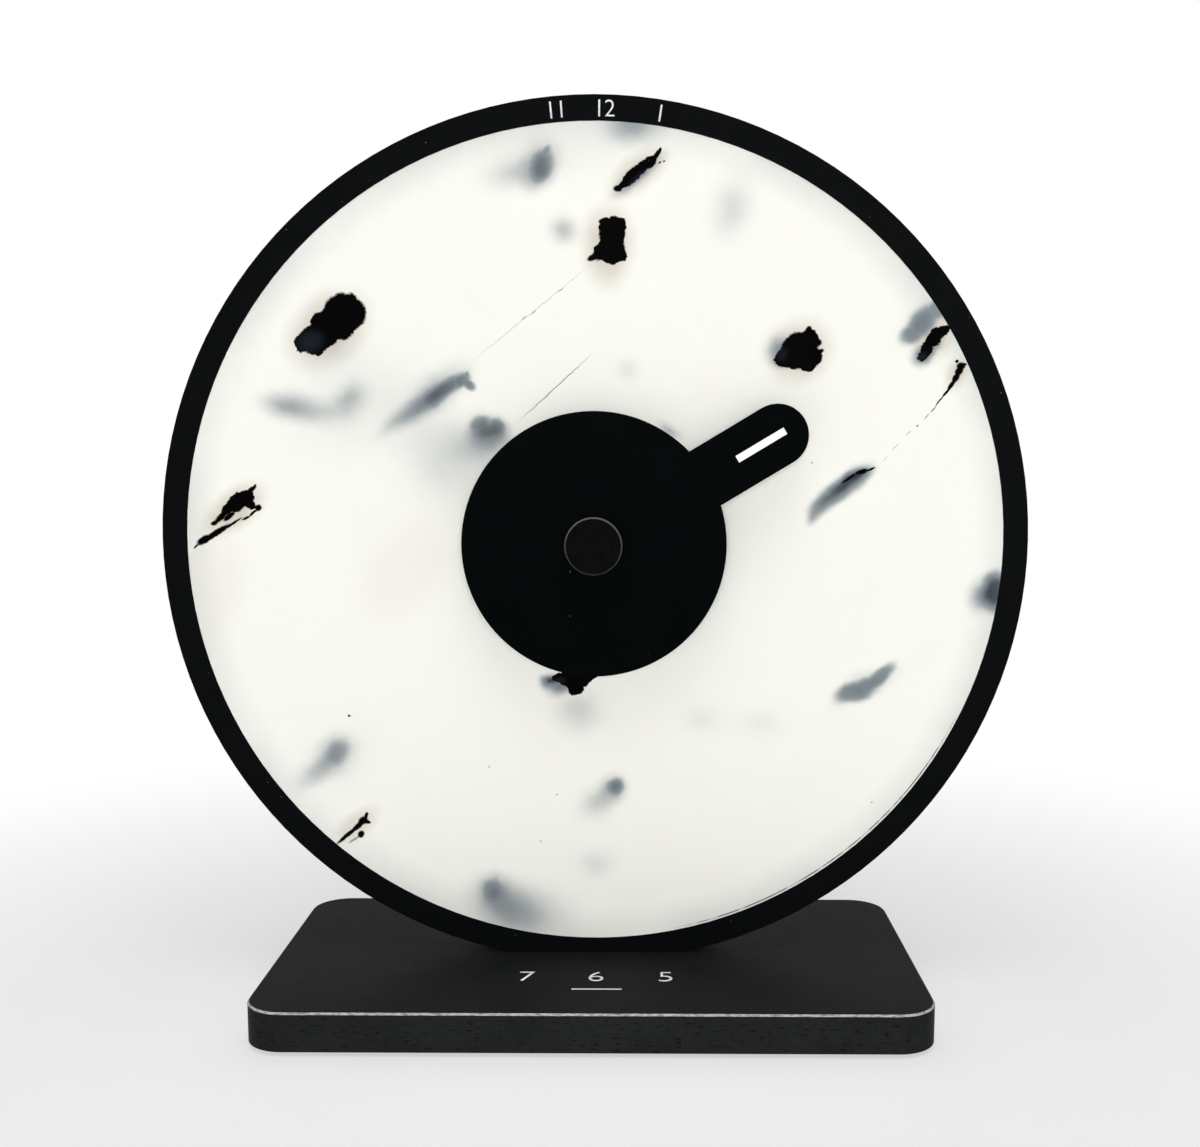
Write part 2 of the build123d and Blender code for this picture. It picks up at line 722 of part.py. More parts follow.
# Setting knob: a gripped wheel outside the cover, its neck through the cover, on the cannon arbor
with BuildPart() as setting_knob:
    with BuildSketch(facing(knob_depth)):
        Circle(knob_radius)
        with PolarLocations(knob_radius, knob_grips):
            Rectangle(2 * knob_grip_depth, knob_grip_width, mode=Mode.SUBTRACT)
    extrude(amount=-knob_thickness)
    with BuildSketch(facing(cover_depth)):
        Circle(knob_neck_radius)
    extrude(amount=cover_depth - knob_depth)
    with BuildSketch(facing(cover_depth)):
        Circle(cannon_arbor_radius + press_fit)
    extrude(amount=cover_depth - knob_depth - knob_bore_depth, mode=Mode.SUBTRACT)
save(setting_knob.part, "setting_knob")
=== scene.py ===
"""Looks of a one-hand tide clock: a black board disc with a flecked pale face, on a black board base."""

import math

import bmesh
import bpy
from bpy.props import FloatProperty, FloatVectorProperty, IntProperty, PointerProperty
from bpy.types import NodeSocket, Operator, Panel, PropertyGroup
from mathutils import Matrix, Vector


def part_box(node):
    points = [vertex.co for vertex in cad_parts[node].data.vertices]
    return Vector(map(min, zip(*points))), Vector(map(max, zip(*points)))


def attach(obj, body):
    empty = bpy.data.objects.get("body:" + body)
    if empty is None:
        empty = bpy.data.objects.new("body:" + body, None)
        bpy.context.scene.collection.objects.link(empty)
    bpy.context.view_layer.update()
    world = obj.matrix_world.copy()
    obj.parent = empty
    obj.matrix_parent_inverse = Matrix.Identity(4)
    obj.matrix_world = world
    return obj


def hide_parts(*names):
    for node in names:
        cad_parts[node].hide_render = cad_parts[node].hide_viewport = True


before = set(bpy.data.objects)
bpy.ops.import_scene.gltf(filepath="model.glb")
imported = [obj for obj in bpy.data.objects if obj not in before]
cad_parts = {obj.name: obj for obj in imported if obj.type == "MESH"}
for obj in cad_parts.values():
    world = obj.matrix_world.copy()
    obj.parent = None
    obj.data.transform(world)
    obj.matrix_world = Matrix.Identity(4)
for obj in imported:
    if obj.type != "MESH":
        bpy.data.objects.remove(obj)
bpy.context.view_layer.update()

bl_info = {
    "name": "Tide clock looks",
    "version": (1, 0, 0),
    "blender": (4, 5, 0),
    "location": "3D View > Sidebar > Tide clock",
    "description": "Materials, numbers, coil, signs and studio stage of a one-hand tide clock",
    "category": "Object",
}

# Places read from the frame, in metres
cap_low, cap_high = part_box("hand_cap")
body_low, body_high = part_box("dial_body")
face_low, face_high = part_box("dial_face")
_, base_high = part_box("base_plate")
_, cover_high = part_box("movement_cover")
cell_low, cell_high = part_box("battery")
coil_low, coil_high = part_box("coil_winding")
AXIS_HEIGHT = (cap_low.z + cap_high.z) / 2
RIM_FRONT = body_low.y
FACE_RADIUS = (face_high.x - face_low.x) / 2
RIM_BACK = body_high.y
BASE_TOP = base_high.z
CASE_BACK = cover_high.y
MM = 0.001
PER_MM = 1000.0

# Black flecks of the face: right and up from the axis, half length and half width in mm, turn in degrees
INK_FLECKS = (
    (-56.7, 52.1, 4.7, 4.5, 0), (-60.4, 49.2, 5.2, 3.7, 42), (-64.2, 46.2, 3.5, 2.9, 20), (-57.2, 48.6, 3.4, 2.3, 25),
    (-62.9, 50.6, 2.0, 1.6, 45), (-62.8, 43.8, 1.6, 1.0, 60), (-66.8, 45.2, 1.9, 1.7, 90), (-63.4, 45.4, 3.2, 2.6, 30),
    (-61.2, 46.8, 3.0, 2.4, 30),
    (-82.2, 9.3, 3.2, 2.0, 35), (-80.4, 10.4, 2.0, 1.5, 20), (-79.3, 8.6, 1.2, 1.1, 0), (-84.8, 7.6, 1.9, 1.1, 35),
    (-79.3, 12.0, 1.7, 0.6, 40), (-81.2, 11.2, 1.2, 0.6, 20), (-78.4, 13.0, 0.6, 0.3, 50), (-86.3, 5.9, 2.3, 0.75, 42),
    (-88.0, 4.4, 0.9, 0.55, 20), (-77.7, 8.0, 0.9, 0.75, 60), (-78.9, 6.8, 1.3, 0.35, 40), (-80.6, 5.6, 1.2, 0.3, 25),
    (-84.5, 6.0, 1.8, 0.6, 38), (-87.6, 2.1, 4.4, 0.72, 32), (-90.5, 0.5, 2.0, 0.95, 30), (-92.3, -0.9, 0.8, 0.25, 40),
    (-83.6, 4.4, 2.6, 0.3, 33),
    (9.2, 83.1, 4.6, 1.4, 41), (12.2, 85.4, 2.2, 1.1, 38), (13.9, 87.0, 1.5, 0.6, 55), (14.6, 88.0, 0.6, 0.35, 60),
    (5.2, 79.6, 1.1, 0.8, 0), (6.8, 80.8, 1.8, 1.0, 41), (14.6, 85.3, 0.45, 0.2, 30), (15.5, 85.5, 0.3, 0.2, 0),
    (2.5, 71.6, 1.7, 1.6, 80), (5.5, 71.6, 1.7, 1.6, 95), (3.9, 69.2, 3.2, 3.0, 90), (3.9, 66.6, 3.0, 2.9, 90),
    (1.8, 65.6, 2.4, 1.6, 30), (5.6, 65.2, 1.7, 1.5, 0), (3.8, 64.3, 2.4, 1.1, 0), (-0.4, 64.5, 1.5, 0.8, 20),
    (6.6, 65.2, 0.7, 0.5, -30), (1.6, 72.4, 0.8, 0.6, 0), (6.2, 72.6, 0.8, 0.6, 0), (4.0, 71.9, 1.7, 1.5, 90),
    (1.3, 66.6, 2.2, 1.3, 62),
    (46.4, 44.0, 4.6, 3.9, 40), (48.6, 46.2, 2.6, 2.4, 60), (43.4, 42.4, 2.6, 2.2, 10), (49.6, 42.4, 2.4, 2.2, 90),
    (48.6, 40.6, 2.0, 1.2, 15), (44.6, 40.9, 2.2, 1.1, 5), (51.0, 43.6, 1.3, 0.6, 30), (48.5, 48.6, 1.0, 0.7, 60),
    (50.6, 45.8, 1.0, 0.9, 0),
    (79.0, 48.6, 1.9, 1.1, 15), (77.8, 47.9, 1.5, 1.4, 0), (76.6, 46.2, 2.4, 1.6, 52), (75.6, 44.4, 1.9, 1.4, 52),
    (74.6, 42.8, 1.4, 1.1, 45),
    (83.3, 40.6, 1.1, 0.95, 0), (83.0, 39.4, 1.2, 0.95, 60), (84.2, 41.0, 0.5, 0.3, -20), (82.3, 41.6, 0.5, 0.35, 30),
    (82.3, 37.9, 1.5, 0.75, 57), (81.3, 36.3, 1.6, 0.5, 54), (80.2, 34.7, 1.5, 0.3, 53), (78.8, 32.8, 1.6, 0.2, 50),
    (77.4, 31.0, 1.2, 0.14, 50),
    (-55.0, -65.9, 1.4, 0.98, 35), (-54.2, -64.6, 0.9, 0.5, 75), (-53.9, -66.2, 0.8, 0.45, -10),
    (-56.2, -67.2, 1.5, 0.75, 42), (-58.6, -69.2, 3.9, 0.56, 40.5), (-55.5, -69.2, 1.0, 0.85, 70),
    (-4.6, -32.0, 3.6, 2.2, 0), (-4.5, -34.0, 1.9, 1.6, 0), (-1.9, -31.4, 2.4, 1.2, 25), (-7.8, -31.2, 2.2, 1.2, 15),
    (58.6, 15.2, 2.4, 0.35, 33), (61.4, 16.6, 1.6, 0.6, 20), (63.4, 17.2, 1.2, 0.3, 25), (-57.8, -40.7, 0.4, 0.25, 0),
)
# Places where the black is thin and turns blue-grey, as above, with a strength from 0 to 1
SHEENS = (
    (-64.8, 45.6, 3.4, 2.6, 20, 0.9), (9.8, 81.6, 3.8, 0.9, 41, 0.9), (42.4, 43.0, 1.7, 1.5, 60, 0.6),
    (74.4, 42.6, 1.3, 1.0, 45, 0.8), (-8.4, -32.4, 1.7, 1.1, 20, 0.7),
)
# Half width, in mm, under which a black fleck is a strand
STRAND_WIDTH = 1.0
# Threads and specks of the face, as above, with a strength from 0 to 1
THREADS = (
    (-14.3, 52.2, 18.0, 0.1, 38.5, 0.38), (-16.0, 51.1, 0.8, 0.14, 38, 0.7), (-13.9, 52.3, 0.9, 0.14, 38, 0.6),
    (-7.7, 57.3, 0.7, 0.16, 38, 0.6), (-9.0, 35.5, 11.5, 0.17, 42, 0.62), (75.8, 29.1, 1.0, 0.12, 48, 0.8),
    (73.8, 27.1, 0.35, 0.2, 45, 0.9), (71.8, 25.5, 0.7, 0.1, 45, 0.6), (68.9, 22.3, 1.2, 0.1, 48, 0.5),
    (66.6, 19.6, 1.0, 0.08, 48, 0.4), (-57.1, -70.4, 1.7, 0.3, 34, 0.6), (49.8, 18.6, 0.25, 0.2, 0, 0.7),
    (-25.0, -52.7, 0.45, 0.2, 60, 0.5), (-9.0, -59.4, 0.22, 0.2, 0, 0.5), (-13.0, -70.7, 0.25, 0.25, 0, 0.4),
    (25.8, 90.8, 0.6, 0.15, -10, 0.7), (65.4, -61.0, 0.3, 0.25, 0, 0.4),
)
# Flecks that lie deeper in the sheet and show as smoke, as above
SMOKE_FLECKS = (
    (-12.4, 84.4, 3.6, 2.3, 70, 0.4), (-17.0, 82.8, 6.0, 3.0, 12, 0.3), (-7.0, 70.6, 2.6, 2.4, 0, 0.36),
    (-35.0, 34.4, 5.2, 2.0, 34, 0.42), (-40.5, 31.0, 4.4, 1.6, 34, 0.38), (-45.0, 28.0, 4.0, 1.4, 36, 0.18),
    (-36.0, 37.5, 7.0, 2.2, 33, 0.14), (-26.0, 27.4, 1.8, 1.6, 30, 0.4), (-22.6, 26.2, 2.1, 1.7, 90, 0.3),
    (-24.6, 25.0, 2.6, 1.9, 0, 0.4), (-25.0, 23.0, 5.0, 3.5, 0, 0.3), (-33.0, 18.0, 9.0, 8.0, 0, 0.22),
    (-38.0, 25.0, 8.0, 6.0, 0, 0.1), (-70.3, 31.3, 4.6, 2.2, -8, 0.42), (-62.5, 29.8, 4.5, 2.2, 0, 0.16),
    (-56.0, 33.2, 3.0, 2.2, 35, 0.28), (9.3, 82.2, 4.0, 1.1, 41, 0.8), (31.0, 75.5, 5.4, 3.6, 75, 0.26),
    (42.4, 43.9, 2.2, 2.0, 60, 0.55), (42.2, 41.6, 1.6, 1.0, 30, 0.4), (-60.5, 47.5, 7.0, 5.4, 42, 0.18),
    (3.2, 66.5, 4.0, 3.0, 90, 0.16), (46.4, 44.0, 5.0, 4.6, 40, 0.16), (73.6, 49.8, 4.4, 2.6, 54, 0.3),
    (77.0, 44.8, 2.2, 1.1, 50, 0.5), (74.4, 42.4, 1.7, 1.4, 40, 0.8), (57.2, 13.4, 4.6, 1.6, 37, 0.84),
    (52.8, 9.5, 3.0, 1.4, 48, 0.6), (50.2, 6.0, 1.8, 0.9, 58, 0.36), (57.6, 12.4, 4.0, 1.4, 37, 0.4),
    (60.4, 15.6, 2.2, 0.9, 28, 0.92), (7.2, 39.4, 2.6, 2.2, 0, 0.17), (17.2, 26.2, 2.2, 1.1, -35, 0.35),
    (8.5, 93.2, 4.2, 2.4, 0, 0.45), (-60.8, -49.4, 3.2, 2.7, 60, 0.3), (-65.2, -53.0, 5.0, 2.2, 42, 0.32),
    (-24.4, -83.2, 2.6, 2.1, 80, 0.36), (-18.5, -88.5, 9.5, 5.2, -12, 0.42), (-22.0, -85.4, 4.6, 3.6, -30, 0.28),
    (-10.6, -32.4, 1.6, 1.1, 15, 0.9), (-8.2, -33.6, 2.0, 1.2, 25, 0.6), (-3.8, -39.0, 4.6, 4.6, 0, 0.27),
    (4.4, -57.8, 2.2, 1.9, 90, 0.4), (1.2, -61.0, 4.2, 2.8, 45, 0.34), (0.3, -76.3, 3.6, 3.0, 0, 0.2),
    (90.4, -12.0, 3.0, 2.8, 60, 0.6), (63.2, -33.4, 5.6, 2.4, 28, 0.36), (25.0, -41.3, 4.4, 3.2, 0, 0.15),
    (39.3, -42.0, 4.8, 3.2, 0, 0.15), (-5.0, 90.0, 20.0, 6.0, 0, 0.14), (-60.0, -50.0, 8.0, 6.0, 40, 0.14),
    (-55.0, 32.0, 14.0, 8.0, 25, 0.18),
)
# Flecks just under the surface, which show as smoke with a clearer outline, as above
NEAR_SMOKE = (
    (-12.0, 84.6, 3.4, 2.0, 70, 0.52), (-11.0, 87.6, 1.6, 0.8, 60, 0.4),
    (-34.6, 34.6, 6.0, 1.7, 35, 0.6), (-30.6, 37.0, 2.3, 1.4, 28, 0.64), (-28.9, 36.4, 1.7, 1.1, -48, 0.64),
    (-29.4, 38.2, 0.9, 0.6, 55, 0.5), (-26.2, 27.6, 2.1, 1.5, 20, 0.38), (-22.8, 26.4, 1.9, 1.7, 90, 0.46),
    (-24.4, 26.0, 2.8, 1.6, 10, 0.4),
    (74.3, 50.0, 4.6, 2.6, 54, 0.62), (72.0, 47.4, 2.9, 2.1, 30, 0.6), (77.3, 53.0, 3.4, 1.9, 48, 0.55),
    (60.8, -35.0, 4.6, 2.1, 12, 0.58), (66.2, -31.2, 4.4, 1.7, 46, 0.56), (63.4, -33.4, 3.4, 1.8, 32, 0.54),
    (4.6, -57.6, 2.0, 1.7, 90, 0.5), (93.2, -10.9, 4.6, 3.1, 90, 0.84), (-24.6, -83.0, 2.5, 1.9, 80, 0.3),
    (-60.4, -49.2, 3.0, 2.3, 60, 0.22),
)
# Warm painted shade round the black flecks, as above
FLECK_SHADE_HAZES = (
    (-60.6, 48.4, 10.5, 7.4, 40, 0.66), (3.0, 66.8, 9.2, 6.2, 90, 0.64), (46.6, 43.8, 8.0, 7.2, 40, 0.6),
    (9.6, 82.9, 8.0, 4.0, 41, 0.56), (-83.4, 7.4, 8.6, 4.4, 36, 0.7), (76.8, 46.4, 6.6, 4.2, 54, 0.56),
    (82.4, 39.0, 4.6, 2.6, 60, 0.5), (-56.4, -67.2, 6.0, 3.2, 40, 0.42), (-44.0, -6.0, 15.0, 10.0, 50, 0.12),
    (-90.0, -10.0, 16.0, 9.0, 80, 0.14),
)

# Places of the printed numbers: rim angles in degrees from the right, base places in mm from the middle
RIM_DIGITS = (("1", 95.8), ("1", 94.4), ("1", 89.4), ("2", 88.0), ("1", 81.3))
BASE_DIGITS = (("7", -15.1), ("6", 0.7), ("5", 16.5))
# How much finer than its font a digit is drawn, as a share of its size
DIGIT_OFFSET = -0.012
# Turning arrow beside the knob: radii of its arc and half width of its head, in metres
ARROW_INNER, ARROW_OUTER, ARROW_HEAD = 0.0062, 0.0069, 0.0012
# Its start and sweep in degrees, the steps of its arc, and its head's length in radians
ARROW_START, ARROW_SWEEP, ARROW_STEPS, ARROW_POINT = 20.0, 250.0, 28, 0.3
# Battery signs: half length and half width of an arm, inset from the cell's ends, height above it, in metres
SIGN_ARM, SIGN_WIDTH, SIGN_INSET, SIGN_CLEAR = 0.0017, 0.0004, 0.006, 0.0042
# Battery sleeve, in metres from the cell's ends: the bare button, the pale band, a pale line and its half width
BUTTON_END, BAND_END, LINE_PLACE, LINE_HALF = 0.00125, 0.0085, 0.006, 0.0004
# Pitch of the stem's thread, in metres
THREAD_PITCH = 0.00075
# Half height, in metres, over which the painted highlight on the cap's arris brightens
CAP_HIGHLIGHT_SPAN = 0.006
# Depths, in metres, between which the painted highlight on the base's arris ends
HIGHLIGHT_DEPTHS = (-0.034, -0.028)
# Dust on the base as a share of the dial's, and dust on the hand
BASE_DUST_SHARE, HAND_DUST = 0.35, 0.3
# Distances from the axis, in mm, between which painted shade greys the sheet towards its edge at the rim
RIM_SHADE_FADE = (86.0, 96.0)
# Painted dark line of shade beside the rim at the lower right: its inset in mm and its bearing
SHADE_GAP_INSET, SHADE_GAP_BEARING = 0.5, (0.62, -0.785, 0.0)

# Fixed colours, in linear light
DUST = (0.35, 0.36, 0.36)
COOL_CLOUD, WARM_CLOUD = (0.80, 0.83, 0.83), (0.84, 0.80, 0.70)
BRASS = (0.60, 0.42, 0.17)
BEECH_DARK, BEECH_PALE, BEECH_RAY = (0.50, 0.31, 0.16), (0.66, 0.46, 0.27), (0.28, 0.15, 0.07)
MASK_DARK, MASK_PALE, MASK_RUN = (0.006, 0.075, 0.028), (0.010, 0.105, 0.040), (0.030, 0.20, 0.065)
BARE_TIN = (0.66, 0.66, 0.64)
LACQUER_DARK, LACQUER_PALE = (0.52, 0.19, 0.07), (0.72, 0.32, 0.13)

# Plain mouldings: name, colour, roughness, specular level, grains in a metre, rise of the grain, and the pieces
MOULDINGS = (
    ("Foot rubber", (0.010, 0.010, 0.0104), 0.78, 0.2, 3200.0, 0.00004, ("base_feet", "gasket")),
    ("Frame plastic", (0.05, 0.05, 0.051), 0.46, 0.4, 2200.0, 0.00002, ("coil_bobbin", "train_plate", "train_bridge")),
    ("Gear acetal", (0.70, 0.67, 0.58), 0.34, 0.45, 2600.0, 0.00001,
     ("tide_wheel", "minute_wheel", "cannon_arbor", "centre_wheel", "third_wheel", "fourth_wheel", "fifth_wheel",
      "rotor_pinion")),
    ("Bonded magnet", (0.030, 0.031, 0.034), 0.52, 0.5, 3000.0, 0.00002, ("rotor_magnet",)),
    ("Chip resin", (0.008, 0.008, 0.0085), 0.6, 0.35, 3600.0, 0.00002, ("drive_chip",)),
)
# Plated and drawn metal: name, colour, roughness, stretch of its hair lines, and the pieces
METALS = (
    ("Plated steel", (0.62, 0.62, 0.60), 0.3, (1.0, 1.0, 0.08),
     ("stator", "coil_core", "positive_contact", "negative_contact")),
    ("Can metal", (0.68, 0.69, 0.70), 0.24, (0.08, 1.0, 1.0), ("quartz_can",)),
)

# Lamps: name, place, point looked at, width and height in metres, and the setting that holds the power
LAMPS = (
    ("front_light", (0.05, -1.5, 0.2), (0.05, -1.15, -0.4), (0.6, 0.5), "key"),
    ("rear_light", (-0.15, 1.5, 0.14), (0.0, 0.0, AXIS_HEIGHT), (0.8, 0.3), "rear"),
    ("top_light", (0.0, -0.45, 1.4), (0.0, -0.02, 0.0), (0.9, 0.7), "top"),
)
# Camera: place in metres from the dial's middle plane and axis, turn in radians from level, and shift
CAMERA_PLACE = (0.0098, -0.3284, AXIS_HEIGHT + 0.0191)
CAMERA_TURN = (math.pi / 2 - 0.1209, -0.0025, 0.0033)
CAMERA_SHIFT = (-0.0274, 0.0487)
FLOOR_RADIUS = 5.0
FULL_WHITE = {"Color": (1.0, 1.0, 1.0), "Strength": 1.0}
# Distances in metres between which the floor turns to white, and the share of white at the near one
FLOOR_FADE = (0.1, 0.32, 0.55)


def colour_of(name, thing, default):
    """The colour of something, which a user can change, in linear light."""
    return FloatVectorProperty(name=name, description="Colour of " + thing, subtype="COLOR", size=3, min=0.0,
                               max=1.0, default=default)


def length_of(name, description, default):
    """A length that a user can change, in metres."""
    return FloatProperty(name=name, description=description, subtype="DISTANCE", unit="LENGTH", min=0.0,
                         precision=5, default=default)


class TideFaceSettings(PropertyGroup):
    """Colours of the flecked face."""

    pale: colour_of("Pale ground", "the clear plastic between the flecks", (0.92, 0.92, 0.86))
    smoke: colour_of("Smoke", "flecks that lie a little under the surface", (0.235, 0.272, 0.292))
    deep: colour_of("Deep smoke", "the darker smoke's heart", (0.030, 0.037, 0.046))
    ink: colour_of("Ink", "the flecks at the surface", (0.0006, 0.0006, 0.0007))
    sheen: colour_of("Thin ink", "the black where it is thin", (0.0105, 0.0135, 0.0195))
    # Warm painted shade round the black flecks, standing in for light lost in the sheet
    haze: colour_of("Haze", "the warm haze round the black flecks", (0.54, 0.46, 0.36))
    # Painted shade greying the sheet towards the black rim
    rim_shade: FloatProperty(name="Edge grey", description="Greying at the cut edge", default=0.3, min=0.0, max=1.0)


class TideFrontSettings(PropertyGroup):
    """Colours of the two black boards, and of the hand, its index line and its cap, with painted shade on the dial
    board's front and painted highlights on the base's and the cap's arrises.
    """

    # The dial board's front takes this darker black and its back and edges the base's: painted shade
    rim: colour_of("Rim black", "the dial board", (0.0022, 0.0027, 0.0030))
    base: colour_of("Base black", "the base board", (0.0104, 0.0112, 0.0113))
    # The base's arris colour is a painted highlight along its front edge
    arris_highlight: colour_of("Worn arris", "the base's rubbed edge", (0.62, 0.63, 0.63))
    dust: FloatProperty(name="Dust", description="Share of places with a pale speck", default=0.7, min=0.0, max=1.0)
    hand: colour_of("Hand black", "the hub and pointer", (0.0011, 0.0019, 0.0019))
    cap: colour_of("Cap black", "the cap", (0.0014, 0.0017, 0.0017))
    # The cap's arris colour is a painted highlight, brighter towards the top
    cap_highlight: colour_of("Cap arris", "the cap's bright edge", (0.10, 0.104, 0.10))
    index: colour_of("Index white", "the index line", (0.93, 0.93, 0.90))


class TideNumberSettings(PropertyGroup):
    """Sizes and colour of the printed numbers."""

    rim_height: length_of("Rim digit height", "Height of the digits on the rim", 0.00365)
    rim_radius: length_of("Rim digit radius", "Axis to the foot of the rim's digits", 0.0952)
    base_height: length_of("Base digit height", "Depth of the digits on the base", 0.0057)
    base_foot: length_of("Base digit foot", "Dial's middle plane forward to the digits' foot", 0.0207)
    film: length_of("Ink film", "Thickness of the printed ink", 0.00005)
    rule_length: length_of("Rule length", "Length of the short rule below the base's digits", 0.0112)
    rule_width: length_of("Rule width", "Width of that rule", 0.0005)
    rule_reach: length_of("Rule place", "Dial's middle plane forward to that rule", 0.0256)
    ink: colour_of("Number white", "the printed ink", (0.90, 0.91, 0.90))


class TideMovementSettings(PropertyGroup):
    """Colours and sizes of the movement behind the dial."""

    case: colour_of("Case black", "the moulded case", (0.012, 0.0122, 0.0125))
    # The moulded signs' lighter tops are a painted highlight
    mark: colour_of("Raised marks", "the rubbed tops of the moulded signs", (0.075, 0.076, 0.077))
    sleeve: colour_of("Battery sleeve", "the battery's plain sleeve", (0.018, 0.040, 0.052))
    band: colour_of("Battery band", "the band at the battery's button end", (0.55, 0.56, 0.54))
    wire: length_of("Wire", "Thickness of the coil's enamelled wire", 0.00034)
    corner: length_of("Coil corner", "Radius of the coil's rounded corners", 0.0009)
    turns: IntProperty(name="Turns", description="Turns that show on the coil", default=28, min=2, max=200)
    sign_rise: length_of("Sign rise", "How far the moulded signs stand proud", 0.0002)


class TideStageSettings(PropertyGroup):
    """Light and floor of the studio."""

    floor: colour_of("Floor", "the pale floor", (0.93, 0.93, 0.93))
    ambient: FloatProperty(name="Ambient", description="Light from all round", default=0.26, min=0.0, max=2.0)
    key: FloatProperty(name="Front light", description="Power of the large front light", unit="POWER", default=19.3)
    top: FloatProperty(name="Top light", description="Power of the long light overhead", unit="POWER", default=6.2)
    rear: FloatProperty(name="Rear light", description="Power of the low light behind", unit="POWER", default=9.0)
    lens: FloatProperty(name="Lens", description="Focal length in mm on a 36 mm wide frame", default=42.42)


def add_node(tree, kind, inputs=None, **settings):
    """Add a node, set its options, and set or link its inputs."""
    node = tree.nodes.new(kind)
    for key, value in settings.items():
        setattr(node, key, value)
    for key, value in (inputs or {}).items():
        socket = node.inputs[key]
        if isinstance(value, NodeSocket):
            tree.links.new(value, socket)
        elif socket.type == "RGBA" and len(value) == 3:
            socket.default_value = (*value, 1.0)
        else:
            socket.default_value = value
    return node


def linked_node(kind, inputs, family="ShaderNode", **settings):
    """Add a node to the tree that its linked inputs belong to."""
    tree = next(value.id_data for value in inputs.values() if isinstance(value, NodeSocket))
    return add_node(tree, family + kind, inputs, **settings)


def calc(operation, first, second=0.0):
    """One step of arithmetic."""
    return linked_node("Math", {0: first, 1: second}, operation=operation).outputs[0]


def times(first, second):
    """Two values multiplied."""
    return calc("MULTIPLY", first, second)


def rest_of(share):
    """What a share leaves of the whole."""
    return calc("SUBTRACT", 1.0, share)


def vector_calc(operation, first, second=(0.0, 0.0, 0.0)):
    """One step of arithmetic on vectors."""
    node = linked_node("VectorMath", {0: first, 1: second}, operation=operation)
    return node.outputs["Value" if operation in ("LENGTH", "DOT_PRODUCT") else "Vector"]


def scaled(vector, level):
    """A vector or colour times a level."""
    return linked_node("VectorMath", {0: vector, "Scale": level}, operation="SCALE").outputs["Vector"]


def axes_of(vector):
    """A vector's three numbers, as the sockets X, Y and Z."""
    return linked_node("SeparateXYZ", {0: vector}).outputs


def fade(value, start, end, low=0.0, high=1.0):
    """Go smoothly from low to high as value goes from start to end."""
    inputs = {"Value": value, "From Min": start, "From Max": end, "To Min": low, "To Max": high}
    return linked_node("MapRange", inputs, interpolation_type="SMOOTHSTEP").outputs["Result"]


def spread(value, low, high):
    """Go from low to high over the usual range of a noise."""
    return fade(value, 0.3, 0.7, low, high)


def shaded(colour, shade, dark, light):
    """A colour made darker and lighter by a slow change of shade."""
    return scaled(colour, spread(shade, dark, light))


def blend(share, first, second):
    """Go from the first colour to the second by a share."""
    return linked_node("Mix", {0: share, 6: first, 7: second}, data_type="RGBA").outputs[2]


def noise(place, scale, detail=2.0, roughness=0.5, stretch=None, output="Fac"):
    """A noise texture, drawn out or pressed along the axes where a stretch is given."""
    if stretch is not None:
        place = vector_calc("MULTIPLY", place, stretch)
    inputs = {"Vector": place, "Scale": scale, "Detail": detail, "Roughness": roughness}
    return linked_node("TexNoise", inputs).outputs[output]


def new_group(name, vectors, numbers=()):
    """Open a shader node group and give its inputs."""
    tree = bpy.data.node_groups.new(name, "ShaderNodeTree")
    for kind, sockets in (("NodeSocketVector", vectors), ("NodeSocketFloat", numbers)):
        for socket in sockets:
            tree.interface.new_socket(socket, in_out="INPUT", socket_type=kind)
    return tree, tree.nodes.new("NodeGroupInput").outputs


def close_group(tree, **results):
    """Give a shader node group its outputs."""
    for socket in results:
        tree.interface.new_socket(socket, in_out="OUTPUT", socket_type="NodeSocketFloat")
    add_node(tree, "NodeGroupOutput", results)
    return tree


def fleck_group():
    """How clear the sheet stays around one fleck: an oval with a soft fringe."""
    tree, given = new_group("Fleck", ("Place", "Centre", "Reach"), ("Turn", "Core", "Fringe", "Strength", "Soft"))
    offset = vector_calc("SUBTRACT", given["Place"], given["Centre"])
    back_turn = times(given["Turn"], -1.0)
    turned = linked_node("VectorRotate", {"Vector": offset, "Angle": back_turn}, rotation_type="Z_AXIS")
    shares = vector_calc("DIVIDE", turned.outputs[0], given["Reach"])
    away = calc("POWER", vector_calc("LENGTH", shares), given["Soft"])
    heart = rest_of(given["Strength"])
    return close_group(tree, Clear=fade(away, given["Core"], given["Fringe"], heart, 1.0))


def dust_group():
    """Scattered pale specks of dust and nicks, as a mask."""
    tree, given = new_group("Dust specks", ("Place",), ("Spacing", "Size", "Amount"))
    cells = linked_node("TexVoronoi", {"Vector": given["Place"], "Scale": given["Spacing"]}).outputs
    draw = linked_node("SeparateColor", {"Color": cells["Color"]}).outputs
    reach = times(given["Size"], calc("ADD", draw["Green"], 0.35))
    near = calc("LESS_THAN", cells["Distance"], reach)
    chosen = calc("LESS_THAN", draw["Red"], given["Amount"])
    bright = calc("ADD", times(draw["Blue"], 0.75), 0.25)
    return close_group(tree, Mask=times(times(near, chosen), bright))


def grain_group():
    """Fine moulded or sprayed grain: a height and a slow change of shade."""
    tree, given = new_group("Fine grain", ("Place",), ("Fine", "Broad"))
    height = noise(given["Place"], given["Fine"], 3.0, 0.6)
    shade = noise(given["Place"], given["Broad"], 4.0, 0.55)
    return close_group(tree, Height=height, Shade=shade)


